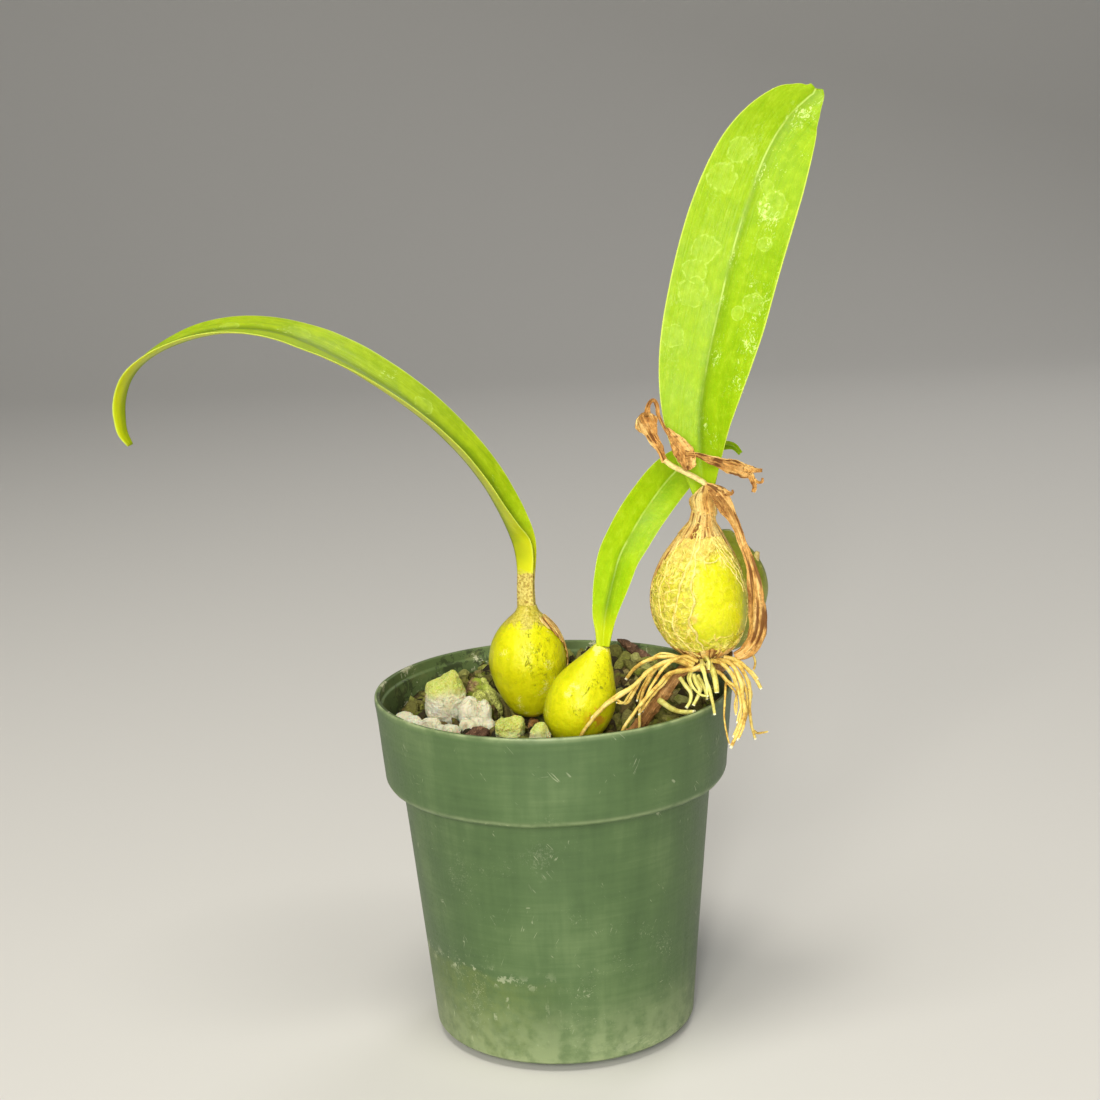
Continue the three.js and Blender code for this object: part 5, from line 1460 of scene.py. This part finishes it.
def make_stones(finish):
    for number, (node, stone) in enumerate(DRAWN_STONES.items()):
        piece = drawn_stone(f"stone_{node}", stone)
        foot, head = stone["algae"]
        roughened(piece, stone_push(number, stone["rough"]), {
            "algae": lambda p: smooth(foot, head, p[:, 2] + 1.3 * lumpy(p, 3, 3, 3)),
            "crack": lambda p: np.zeros(len(p)),
        })
        piece.data.materials.append(finish)
        settle(piece, node)
    for number, (node, lumps) in enumerate(MELTED_STONES.items()):
        piece = lump_mass(f"stone_{node}", lumps, 0.24)
        roughened(piece, stone_push(number + 5, 0.34), {
            "algae": lambda p: np.full(len(p), -0.3), "crack": crack_lines(number),
        })
        piece.data.materials.append(finish)
        settle(piece, node)


def make_barks(finishes):
    for number, (node, bark) in enumerate(BARKS.items()):
        piece = lump_mass(f"chip_{node}", bark["lumps"], 0.22, bark["turn"])

        def push(p, n, seed=number):
            layers = lumpy(p * [1, 1, 2.4], 1.6, seed + 40, 4)
            return 0.45 * layers + 0.35 * lumpy(p, 3.0, seed + 50, 2)

        roughened(piece, push)
        piece.data.materials.append(finishes[node])
        settle(piece, node)


# Rhizome and roots

RHIZOME_MAIN = [
    (38.4, -17, 96.4), (36, -17, 96.7), (33.4, -17, 96.6), (30.2, -17.5, 94.9), (27.6, -18, 91.5),
    (24.2, -18, 87.2), (21.4, -18, 83.6), (17.6, -18.6, 80), (10.6, -20.4, 77.4), (3.6, -21.4, 77),
    (-1.6, -14.6, 77.2), (-4.6, -5, 78.2), (-5.6, 0.6, 79.2),
]
RHIZOME_LINK = [(36.8, -17, 96.4), (39.4, -11, 94.6), (42.4, -2, 92.6), (44, 5.4, 92.4), (44.6, 9, 93)]


def ridged_rod(spine, radius, seed, stations, sides=40):
    """A rod with rings of old scale leaves and fibrous ridges along it."""
    spots = trail(spine, stations)
    sideways, facing, _ = blade_frames(spots, np.full(stations, 60.0))
    length = np.linalg.norm(np.diff(spots, axis=0), axis=1).sum()
    along = np.linspace(0, length, stations)
    ga, gl = np.meshgrid(even_turns(sides), along, indexing="xy")
    ridge = round_spot(5, ga, gl * 0.35 + seed)
    bumps = round_spot(1.5, ga, gl * 0.8 + seed)
    phase = (gl / 4.6 + 0.12 * np.sin(ga * 2 + gl)) % 1.0
    cuff = 0.28 * np.maximum(1 - phase * 2.2, 0) ** 0.7
    r = radius * (0.9 + 0.09 * lumpy(bumps, 1.0, seed, 3)) + 0.2 * lumpy(ridge, 1.0, seed + 5, 3) + cuff
    ends = smooth(0, 0.04, along / length) * smooth(1, 0.96, along / length)
    r = r * (0.6 + 0.4 * ends[:, None])
    loop = spots[:, None] + r[..., None] * (
        sideways[:, None] * np.cos(ga)[..., None] + facing[:, None] * np.sin(ga)[..., None]
    )
    flat = np.vstack([loop.reshape(-1, 3), spots[0], spots[-1]])
    place = np.vstack([spot(ga * radius, gl, 0.0).reshape(-1, 3), [0, 0, 0], [0, length, 0]])
    # fold follows the ridges: it is low in the grooves, where the finish paints shade.
    fold = np.concatenate([(0.6 + 0.5 * lumpy(ridge, 1.0, seed + 5, 3)).ravel(), [0.5, 0.5]])
    return flat, rings_closed(stations, sides), {"blade": place, "fold": fold}


# Each root is (radius at its start, points)
ROOTS = {
    "roots_left": [
        (0.62, [
            (33.8, -22, 98.6), (30.3, -22.4, 100.5), (26.1, -22.2, 100.7), (22.9, -21.4, 99.8),
            (20, -20.4, 97.9), (17.6, -19, 94.6),
        ]),
        (0.66, [
            (33.4, -22.6, 98), (30.3, -23, 99.8), (27, -24.6, 100), (23.7, -27, 99.2), (21.1, -29, 97.8),
            (18.3, -31.6, 96), (15.2, -33.2, 94.5), (12.4, -34, 93), (9.5, -34, 90), (6.6, -33.4, 86.2),
            (5.4, -33, 83.4), (4.8, -32.6, 80),
        ]),
        (0.55, [
            (32.4, -21, 98), (29, -20.6, 99.2), (26.6, -20.6, 98.8), (24.3, -21.4, 97), (22.4, -22, 94),
            (20.9, -23, 90.6), (20.4, -24, 86.6), (20.2, -24, 82.6), (20, -24, 79.4),
        ]),
        (0.5, [
            (20.6, -29.4, 97.4), (18.6, -30.2, 94), (17.4, -29.8, 92), (16.1, -29, 91.7), (14.6, -28, 92.6),
        ]),
        (0.62, [
            (36.2, -23.4, 99.2), (34, -23.6, 97.9), (30.8, -24.2, 97.8), (27.6, -26, 97.5), (25.5, -28, 96.2),
            (23, -30, 94.2), (20.5, -31.4, 92), (18, -32.4, 89.2), (15.8, -33, 86), (14.6, -33, 83),
            (13.8, -32.8, 80),
        ]),
        (0.5, [
            (34.6, -22.6, 99.4), (31.6, -23.6, 101), (28.4, -25.2, 100.4), (25.6, -27, 98.4),
            (23.4, -28.4, 95.6), (21.6, -29.4, 92.4), (20.8, -30, 89.6),
        ]),
        (0.36, [(31, -22.6, 100.2), (28.4, -22, 101.2), (26, -21.6, 101.4), (24.4, -21.2, 100.6)]),
    ],
    "roots_middle": [
        (0.62, [(33.6, -22, 96), (34.1, -23, 94.2), (34.8, -24, 92.9), (34.3, -25, 91.3), (33.1, -26, 89.4)]),
        (0.62, [
            (30.4, -21.6, 95.2), (31.6, -23, 93.5), (32.7, -24, 91.9), (32.6, -25, 90.3), (31.4, -26, 88.9),
        ]),
        (0.58, [(34.6, -21.4, 95.6), (35.7, -22.4, 93.6), (36.4, -23.4, 91.6), (36.6, -24, 90.2)]),
        (0.85, [(25.4, -19.4, 89.2), (28.2, -22, 87.7), (30.6, -24, 87.4), (33.4, -26.2, 87.9)]),
        (0.62, [
            (35.6, -22.6, 99.4), (35.6, -26.6, 98.6), (36, -28.6, 96.4), (36.7, -29.6, 94.6),
            (37.3, -30.4, 91.9), (37.8, -30.4, 88.3),
        ]),
        (0.95, [(37.2, -22.6, 98.6), (38.1, -25, 97.4), (38.5, -26.2, 95.2), (38.7, -27, 92.6)]),
        (0.5, [(36.7, -23.6, 100.8), (37, -26.4, 100), (36.9, -27, 98.4)]),
        (0.45, [
            (33.2, -22.4, 97), (32.6, -24, 95.2), (33.6, -25.4, 93.2), (35, -26, 92), (36.6, -26.2, 91.7),
        ]),
    ],
    "roots_right": [
        (0.42, [
            (44.4, -19.4, 99.6), (45.9, -19.2, 100.8), (47.8, -19, 99.9), (48.7, -19.4, 97.8),
            (48.2, -20, 95.8),
        ]),
        (0.7, [
            (40.8, -22.4, 99.9), (43.4, -22.4, 99.4), (45.5, -22.6, 97.9), (48, -22.8, 95.1), (49.6, -23, 92),
        ]),
        (0.66, [
            (39.4, -22.6, 99.4), (41.6, -24, 99.4), (43.1, -25, 98.1), (44.4, -26, 95), (44.9, -27, 91.5),
            (45.2, -28, 88), (43.5, -29.4, 84.1), (41.4, -30, 79.8),
        ]),
        (0.6, [
            (37.9, -23.4, 99.6), (39.9, -25, 99.5), (41.9, -25.6, 97.4), (43.4, -26, 94.1),
            (44.4, -26.6, 89.7), (43.6, -28, 85), (42.2, -28.8, 82),
        ]),
        (0.55, [
            (42.6, -21.6, 98.6), (44.3, -23, 98.1), (46.2, -23.2, 94.8), (46.9, -23, 91), (46.8, -23, 86.4),
            (47.4, -22, 82.3), (48.2, -21, 78.9),
        ]),
        (0.36, [(47.7, -21.8, 81.4), (48.6, -20.8, 80.4), (49.8, -19.8, 80), (51.5, -18.8, 80)]),
        (0.5, [
            (38, -22.8, 97.2), (39.8, -24, 96.6), (41.5, -24.8, 94.8), (43.8, -25.2, 92.8),
            (44.6, -25.6, 88.9), (44.2, -26, 86.4),
        ]),
        (0.4, [(43.4, -22.8, 97.4), (43.6, -24.4, 92), (43, -25, 88.6), (43.3, -25.4, 86.4)]),
        (0.32, [
            (41.2, -23.2, 94), (40.5, -27.4, 90.9), (40.2, -28.4, 87.2), (40.5, -29.8, 83.4),
            (41.2, -30, 80.6),
        ]),
        (0.5, [
            (41.4, -22, 99.8), (43.6, -24, 97.4), (45.3, -24.6, 94.4), (46, -24.6, 90.6), (45.8, -25, 86.2),
            (45.2, -25.4, 84.4),
        ]),
    ],
}


def make_roots(node, finish, seed):
    draw = random.Random(seed)
    lines = []
    for number, (radius, points) in enumerate(ROOTS[node]):
        length = sum(math.dist(a, b) for a, b in zip(points, points[1:]))
        count = max(24, int(length / 0.35))
        path = trail(points, count)
        t = np.linspace(0, 1, count)
        own = seed + number
        spots = path + 0.16 * shaken(path, 2.5, [own, own + 10, own + 20]) * np.sin(math.pi * t)[:, None]
        girth = 0.84 * radius * (1.06 - 0.34 * t) * (1 + 0.16 * lumpy(path, 1.3, own, 2))
        lines.append((spots, girth))
        if radius < 0.45 or len(points) < 5:
            continue
        stop = int(count * draw.uniform(0.6, 0.92))
        apart = np.array([draw.uniform(-0.9, 0.9), draw.uniform(-0.4, 0.9), draw.uniform(-0.7, 0.5)])
        sway = shaken(path, 4.0, [own + 40, own + 50, own + 60])
        beside = spots + apart * (0.3 + 1.4 * t[:, None]) + 0.5 * sway
        lines.append((beside[:stop], 0.62 * girth[:stop]))
    piece = cords(f"{node}_strands", lines, finish, sides=12, unevenness=0.00012, lump_size=1100.0)
    settle(piece, node)


# Dry sheath on the raised bulb


def net_lines(bulb, draw, count, allowed, foot, head, thick):
    """Wandering fibres on a bulb. allowed(angle, t) says where a fibre may lie."""
    lines = []
    while len(lines) < count:
        angle, start = draw.uniform(-180, 180), draw.uniform(foot, head)
        slant, length = draw.uniform(-0.9, 0.9), draw.uniform(0.06, 0.34)
        seed = draw.randrange(9999)
        s = np.linspace(0, 1, 20)
        t = start + length * s
        drift = spot(s * 4, float(seed), 0.0)
        bend = angle + 60 * slant * length * s + 15 * lumpy(drift * 1.6, 1.0, 1, 4)
        t = t + 0.02 * lumpy(drift + 50, 1.0, 2, 2)
        keep = [k for k in range(20) if t[k] < head and allowed(bend[k], t[k])]
        if len(keep) < 7 or keep[-1] - keep[0] != len(keep) - 1:
            continue
        rank = np.arange(len(keep)) + 1
        taper = np.minimum(1, 3 * np.minimum(rank, rank[::-1]) / len(keep))
        off = 0.06 + 0.14 * draw.random() + 0.08 * np.sin(rank)
        lines.append((on_bulb(bulb, bend[keep], t[keep], off), thick * draw.uniform(0.45, 1.0) * taper))
    return lines


def make_sheath(paper, fibre, pale):
    bulb = BULBS["raised"]
    draw = random.Random(12)
    whole = ([(0, -180), (1, -180)], [(0, 180), (1, 180)])
    left = ([(0, -150), (1, -165)], [(0, -98), (0.3, -88), (0.5, -84), (0.7, -62), (0.85, -30)])
    right = ([(0, 104), (0.5, 96), (0.7, 74), (0.85, 40)], [(0, 150), (0.4, 155), (1, 170)])
    parts = [
        bulb_paper(bulb, 0.78, 0.99, *whole, 0.12, 1, 0.2, 3.4, 170, 60, 0),
        bulb_paper(bulb, 0.04, 0.8, *left, 0.1, 2, 0.12, 9.0, 56, 120),
        bulb_paper(bulb, 0.015, 0.085, *whole, 0.14, 3, 0.16, 9.0, 190, 16, 0),
        bulb_paper(bulb, 0.06, 0.8, *right, 0.1, 4, 0.12, 9.0, 56, 90),
        neck_wrap(),
    ]
    verts, faces, marks = joined_pieces(parts)
    put("sheath_paper", verts, faces, paper, "dry_sheath", "dry_sheath", marks)

    def covered(angle, t):
        return bare_share(np.array((angle + 180) % 360 - 180), np.array(t)) < 0.3

    lines = net_lines(bulb, draw, 240, covered, 0.03, 0.84, 0.14)
    net = cords("sheath_net", lines, fibre, sides=6, unevenness=0.00008, lump_size=1300.0)
    settle(net, None)
    strands = [
        [
            (-2, 0.86), (-8, 0.76), (-12, 0.66), (-15, 0.52), (-13, 0.42), (-17, 0.3), (-10, 0.18),
            (-3, 0.08), (0, 0.03),
        ],
        [(-14, 0.84), (-18, 0.72), (-27, 0.56), (-32, 0.42), (-38, 0.26), (-28, 0.12), (-14, 0.05)],
        [
            (24, 0.84), (34, 0.74), (50, 0.62), (66, 0.52), (80, 0.42), (84, 0.3), (78, 0.18), (60, 0.08),
            (40, 0.04),
        ],
        [(30, 0.82), (42, 0.72), (58, 0.62), (74, 0.5), (80, 0.44)],
        [(20, 0.83), (28, 0.73), (42, 0.63), (58, 0.52), (68, 0.44)],
        [(36, 0.83), (52, 0.73), (68, 0.63), (84, 0.52)],
        [(-4, 0.7), (6, 0.65), (16, 0.64), (28, 0.66)],
        [(-100, 0.3), (-70, 0.16), (-44, 0.09), (-20, 0.05), (10, 0.04)],
        [(100, 0.2), (70, 0.1), (44, 0.06), (16, 0.04)],
        [(-60, 0.78), (-56, 0.6), (-62, 0.44), (-58, 0.3), (-50, 0.16)],
    ]
    strong = []
    for number, keys in enumerate(strands):
        flat = trail([(a, t * 100, 0) for a, t in keys], 70)
        spots = on_bulb(bulb, flat[:, 0] + 6 * lumpy(flat, 7.0, number, 4), flat[:, 1] / 100, 0.2)
        spots = spots + 0.14 * shaken(spots, 1.8, [number, number + 9, number + 18])
        thick = 0.31 if number < 2 else 0.18
        strong.append((spots, thick * (0.8 + 0.6 * lumpy(spots, 1.4, number, 2))))
    threads = cords("sheath_strands", strong, pale, sides=8, unevenness=0.00034, lump_size=900.0)
    settle(threads, None)


# Dry flower parts

STALK = [
    (37.2, -20.2, 138.4), (37.5, -22.4, 140.6), (37.3, -23.2, 142.2), (35.1, -23.6, 143.9),
    (32.3, -23.8, 145.5), (29.5, -24, 147.1), (28, -24.2, 148.4),
]
DRY_BLADES = [
    {
        "spine": [
            (28.1, -24.1, 148), (27.2, -24, 150.6), (25.6, -24, 153.5), (24.7, -24.2, 155.9),
            (23.7, -24.6, 158), (23.2, -24.8, 159.8),
        ],
        "half": [
            (0, 0.75), (0.15, 0.75), (0.35, 1.1), (0.55, 1.4), (0.7, 2.1), (0.84, 2.9), (0.94, 2), (1, 0.5),
        ],
        "roll": [(0, 96), (0.6, 84), (1, 74)], "curl": 0.75,
    },
    {
        "spine": [
            (24.2, -24.4, 158.8), (24.3, -23.9, 160.4), (24.9, -23.6, 161.8), (25.8, -23.8, 162.4),
            (26.4, -24, 161.4), (26.7, -24.2, 159.4), (27.4, -24.2, 157.5), (28.3, -24.2, 155.8),
            (29.1, -24.2, 154.6),
        ],
        "half": [(0, 0.9), (0.2, 0.5), (0.5, 0.5), (0.8, 0.38), (1, 0.5)],
        "roll": [(0, 70), (0.5, 110), (1, 90)], "curl": 1.1, "ragged": 0.08, "crumple": 0.15,
    },
    {
        "spine": [
            (28.7, -24.2, 155.8), (30.6, -24.4, 153.1), (32.1, -24.8, 150.6), (33.2, -25.2, 148.3),
            (33.4, -25, 145.9),
        ],
        "half": [(0, 0.45), (0.2, 1.1), (0.42, 1.9), (0.62, 2.35), (0.8, 1.9), (0.93, 1.5), (1, 0.6)],
        "roll": [(0, 86), (0.5, 98), (1, 112)], "curl": 0.35,
    },
    {
        "spine": [
            (32.8, -25.4, 149.8), (35.1, -25, 149.6), (37.1, -24.4, 148.9), (39, -24.2, 148.1),
            (41.3, -24, 147.2), (43.7, -23.6, 146.3), (46.1, -23.2, 145.1), (48.2, -23, 143.9),
        ],
        "half": [(0, 0.9), (0.12, 0.5), (0.3, 0.85), (0.5, 1.3), (0.72, 1.9), (0.88, 1.7), (1, 0.9)],
        "roll": [(0, 90), (0.5, 78), (1, 98)], "curl": 0.4,
    },
    {
        "spine": [(46.4, -23.2, 145.7), (48, -22.9, 145.4), (49.6, -22.7, 144.9), (50.8, -22.5, 144.9)],
        "half": [(0, 1), (0.5, 0.7), (1, 0.4)],
        "roll": [(0, 96), (1, 70)], "curl": 0.6,
    },
    {
        "spine": [
            (47.6, -23, 144.2), (48.9, -22.9, 142.7), (49.8, -22.8, 142.1), (50.7, -22.6, 142.1),
            (50.8, -22.4, 143),
        ],
        "half": [(0, 0.8), (0.45, 0.4), (1, 0.25)],
        "roll": [(0, 96), (1, 70)], "curl": 0.6, "ragged": 0.08,
    },
    {
        "spine": [(47.9, -23.1, 144), (48.6, -23, 142.2), (48.9, -22.9, 141), (48.6, -22.8, 139.8)],
        "half": [(0, 0.9), (0.5, 0.6), (1, 0.5)],
        "roll": [(0, 96), (1, 84)], "curl": 0.6,
    },
]
# The long strip down the raised bulb's right side, then the torn horn at its top
STRIP = [
    {
        "spine": [
            (37.3, -23.5, 142.3), (38.6, -23.6, 141.4), (40, -23.2, 139.9), (41.8, -22.4, 137.4),
            (43.4, -21.6, 134.2), (44.8, -21.3, 131), (45.8, -21.8, 127.8), (47, -23.6, 124.4),
            (47.9, -25.4, 120.6), (48.5, -26, 115.4), (48.6, -25.2, 109), (47.8, -23.6, 104),
            (45.8, -22.2, 101), (43.6, -21.8, 99.9),
        ],
        "half": [
            (0, 0.5), (0.05, 1.4), (0.1, 2), (0.17, 1.8), (0.25, 1.2), (0.38, 1), (0.48, 1.2), (0.58, 2),
            (0.75, 2.5), (0.9, 2.2), (1, 1),
        ],
        "roll": [(0, 96), (0.2, 80), (0.4, 66), (0.6, 50), (0.85, 46), (1, 70)], "curl": -0.3,
        "stations": 190, "cells": 30, "crumple": 0.24, "ragged": 0.3,
    },
    {
        "spine": [
            (40, -23.4, 140.6), (41.6, -23.2, 140.2), (43, -22.9, 139.7), (43.7, -22.7, 139.9),
            (43.7, -22.6, 140.5),
        ],
        "half": [(0, 1.2), (0.5, 0.8), (0.85, 0.35), (1, 0.2)],
        "roll": [(0, 92), (1, 70)], "curl": 0.5, "ragged": 0.1, "crumple": 0.2,
    },
]


def make_dry_flower(paper, stem):
    parts = [ribbon(**blade_keys, seed=30 + k) for k, blade_keys in enumerate(DRY_BLADES)]
    verts, faces, marks = joined_pieces(parts)
    put("dry_flowers", verts, faces, paper, "dry_flower_stalk", "dry_flower", marks)
    spots = trail(STALK, 90)
    t = np.linspace(0, 1, 90)
    lines = [(spots, 0.68 - 0.06 * t)]
    stalk = cords("dry_stalk", lines, stem, sides=14, unevenness=0.00014, lump_size=900.0)
    settle(stalk, None)


# The scene

place_camera()
bpy.context.scene.view_settings.view_transform = "Standard"

yellow_bulb = bulb_finish(
    "bulb_skin", (0.74, 0.73, 0.006), (0.66, 0.655, 0.002), (0.42, 0.44, 0.001), 0.74, cap=0.84,
)
front_bulb = bulb_finish(
    "front_bulb_skin", (0.74, 0.735, 0.006), (0.64, 0.65, 0.002), (0.42, 0.46, 0.001), 0.7, blush=0.9,
)
bright_bulb = bulb_finish(
    "raised_bulb_skin", (0.76, 0.76, 0.01), (0.6, 0.63, 0.003), (0.4, 0.43, 0.001), 0.2, netted=True,
)
olive_bulb = bulb_finish("back_bulb_skin", (0.42, 0.46, 0.04), (0.29, 0.34, 0.02), (0.17, 0.2, 0.01), 0.4)
arch_leaf = leaf_finish(
    "arching_leaf", (0.24, 0.38, 0.002), (0.4, 0.55, 0.006), (0.6, 0.66, 0.006), (0.88, 0.88, 0.012),
    scaly_foot=0.064, drops=((3, 58, 2.6), (4, 92, 2.6), (2.4, 108, 2.2)), flecks=0.5, crease=1.5,
)
short_leaf = leaf_finish(
    "short_leaf", (0.23, 0.42, 0.001), (0.38, 0.57, 0.004), (0.5, 0.62, 0.04), (0.54, 0.64, 0.004),
)
tall_leaf = leaf_finish(
    "tall_leaf", (0.22, 0.4, 0.001), (0.33, 0.52, 0.004), (0.4, 0.54, 0.01), (0.34, 0.52, 0.004),
    drops=(
        (-5.7, 80.3, 2.8), (-7.3, 73.3, 3.3), (6, 70.6, 3.4), (2.9, 75, 1.6), (-6.1, 57.2, 3.2),
        (-7.3, 51.9, 2.8), (-6.7, 47.2, 3.4), (7, 61.5, 1.9), (7.9, 47.4, 2.5), (4.8, 44.5, 1.6),
        (-8.9, 36.2, 2.6),
    ),
    flecks=0.66,
)
tan_paper = paper_finish("sheath_paper", (0.98, 0.79, 0.3), (0.86, 0.52, 0.14), (0.34, 0.13, 0.025))
tan_fibre = fibre_finish("sheath_fibre", (0.9, 0.76, 0.2), (0.56, 0.38, 0.08))
pale_fibre = fibre_finish("pale_fibre", (0.92, 0.83, 0.28), (0.64, 0.5, 0.12))
dry_paper = paper_finish(
    "dry_petal", (0.94, 0.63, 0.23), (0.68, 0.37, 0.1), (0.24, 0.09, 0.02), 1400.0, 120.0, 0.0006,
)
stem_dry = fibre_finish("dry_stem", (0.9, 0.76, 0.32), (0.66, 0.46, 0.15))
tan_root = root_finish("tan_root", (0.84, 0.62, 0.14), (0.46, 0.24, 0.035), (0.92, 0.86, 0.6))
pale_root = root_finish("pale_root", (0.78, 0.74, 0.2), (0.5, 0.44, 0.07), (0.9, 0.88, 0.55))
rhizome_bark = paper_finish(
    "rhizome_bark", (0.7, 0.4, 0.15), (0.42, 0.2, 0.06), (0.15, 0.07, 0.02), 1300.0, 160.0, 0.0008,
)

make_pot(pot_outside(), pot_inside())
make_bed(bed_finish())
make_crumbs(crumb_finish())
make_stones(pumice_finish())
make_barks({
    "bark_left": bark_finish("pink_bark", (0.66, 0.46, 0.27), (0.36, 0.22, 0.11), (0.12, 0.07, 0.03), 0.4),
    "bark_mossy": bark_finish("mossy_bark", (0.72, 0.74, 0.26), (0.54, 0.58, 0.14), (0.3, 0.33, 0.07), 0.1),
    "bark_front": bark_finish("dark_bark", (0.28, 0.15, 0.09), (0.1, 0.05, 0.03), (0.03, 0.016, 0.01)),
    "bark_back": bark_finish("beige_bark", (0.6, 0.5, 0.28), (0.34, 0.27, 0.12), (0.12, 0.09, 0.04), 0.3),
    "bark_stick": bark_finish("brown_stick", (0.3, 0.17, 0.1), (0.15, 0.08, 0.045), (0.05, 0.027, 0.015)),
})
make_bulb("left_bulb", BULBS["left"], yellow_bulb, "pseudobulb_left", 1)
make_bulb("front_bulb", BULBS["front"], front_bulb, "pseudobulb_front", 2)
make_bulb("raised_bulb", BULBS["raised"], bright_bulb, "pseudobulb_raised", 3, 0.1, 300, 270, True)
make_bulb("back_bulb", BULBS["back"], olive_bulb, "pseudobulb_back", 4)
bud_line = (trail([(49.8, 4.6, 114.6), (51.4, 4.3, 116.8), (52.2, 4, 119.6)], 20), np.linspace(1.4, 0.6, 20))
bud = cords("back_bud", [bud_line], stem_dry, sides=16, unevenness=0.0003)
settle(bud, None)
worn_edges = ([(0.4, 84), (0.7, 70), (0.86, 44), (1, 30)], [(0.4, 100), (0.7, 112), (1, 120)])
worn = bulb_paper(BULBS["left"], 0.46, 0.9, *worn_edges, 0.06, 6, ridges=0.14, cells=40, rows=70)
put("left_bulb_paper", *worn[:2], tan_paper, None, "dry_sheath", worn[2])
make_leaf("arching_leaf", arch_leaf, "leaf_left", 1)
make_leaf("short_leaf", short_leaf, "leaf_front", 2)
make_leaf("tall_leaf", tall_leaf, "leaf_raised", 3)
rods = joined_pieces([ridged_rod(RHIZOME_MAIN, 1.6, 1, 420), ridged_rod(RHIZOME_LINK, 1.55, 2, 160)])
put("creeping_rhizome", *rods[:2], rhizome_bark, "rhizome", "rhizome", rods[2])
make_roots("roots_left", tan_root, 1)
make_roots("roots_middle", pale_root, 20)
make_roots("roots_right", tan_root, 40)
make_sheath(tan_paper, tan_fibre, pale_fibre)
make_dry_flower(dry_paper, stem_dry)
strip = joined_pieces([ribbon(**part, seed=50 + k) for k, part in enumerate(STRIP)])
put("dry_strip", *strip[:2], dry_paper, "dry_bract", "dry_flower", strip[2])

# Floor and light

FLOOR_HALF = 3.0
SWEEP_START = 1.3
SWEEP_RADIUS = 0.9
FLOOR_SIDE = 4.0
BACKDROP_TOP = 3.0


def make_floor():
    profile = [(-FLOOR_HALF, 0.0), (SWEEP_START, 0.0)]
    for k in range(1, 17):
        turn = math.pi / 2 * k / 16
        profile.append((SWEEP_START + SWEEP_RADIUS * math.sin(turn), SWEEP_RADIUS * (1 - math.cos(turn))))
    profile.append((SWEEP_START + SWEEP_RADIUS, BACKDROP_TOP))
    verts = [(x, y, z) for y, z in profile for x in (-FLOOR_SIDE, FLOOR_SIDE)]
    faces = [(2 * k, 2 * k + 1, 2 * k + 3, 2 * k + 2) for k in range(len(profile) - 1)]
    mesh = bpy.data.meshes.new("floor")
    mesh.from_pydata(verts, [], faces)
    mesh.shade_smooth()
    p = new_finish("floor", Specular_IOR_Level=0.2)
    mesh.materials.append(finished(p, (0.72, 0.71, 0.69, 1), 0.7))
    floor = bpy.data.objects.new("floor", mesh)
    bpy.context.collection.objects.link(floor)


make_floor()
world = bpy.data.worlds.new("studio")
world.use_nodes = True
world.node_tree.nodes["Background"].inputs[0].default_value = (0.96, 0.98, 1.0, 1)
world.node_tree.nodes["Background"].inputs[1].default_value = 0.12
bpy.context.scene.world = world
soft_light("key", (-0.34, -1.3, 0.95), (0, 0, 0.12), 0.42, 0.42, 7, (1.0, 0.95, 0.84))
soft_light("window", (-0.1, -1.15, 0.42), (0, 0, 0.09), 0.16, 0.62, 9.6, (1.0, 0.97, 0.9))
soft_light("fill", (1.3, -0.9, 0.8), (0, 0, 0.1), 0.9, 0.9, 0.5, (1.0, 0.98, 0.94))
soft_light("back", (0.6, 1.1, 1.1), (0, 0, 0.14), 0.6, 0.6, 4, (1.0, 0.98, 0.95))
soft_light("top", (-0.12, -0.3, 1.2), (0, 0, 0.08), 0.5, 0.5, 7.6, (1.0, 0.96, 0.86))
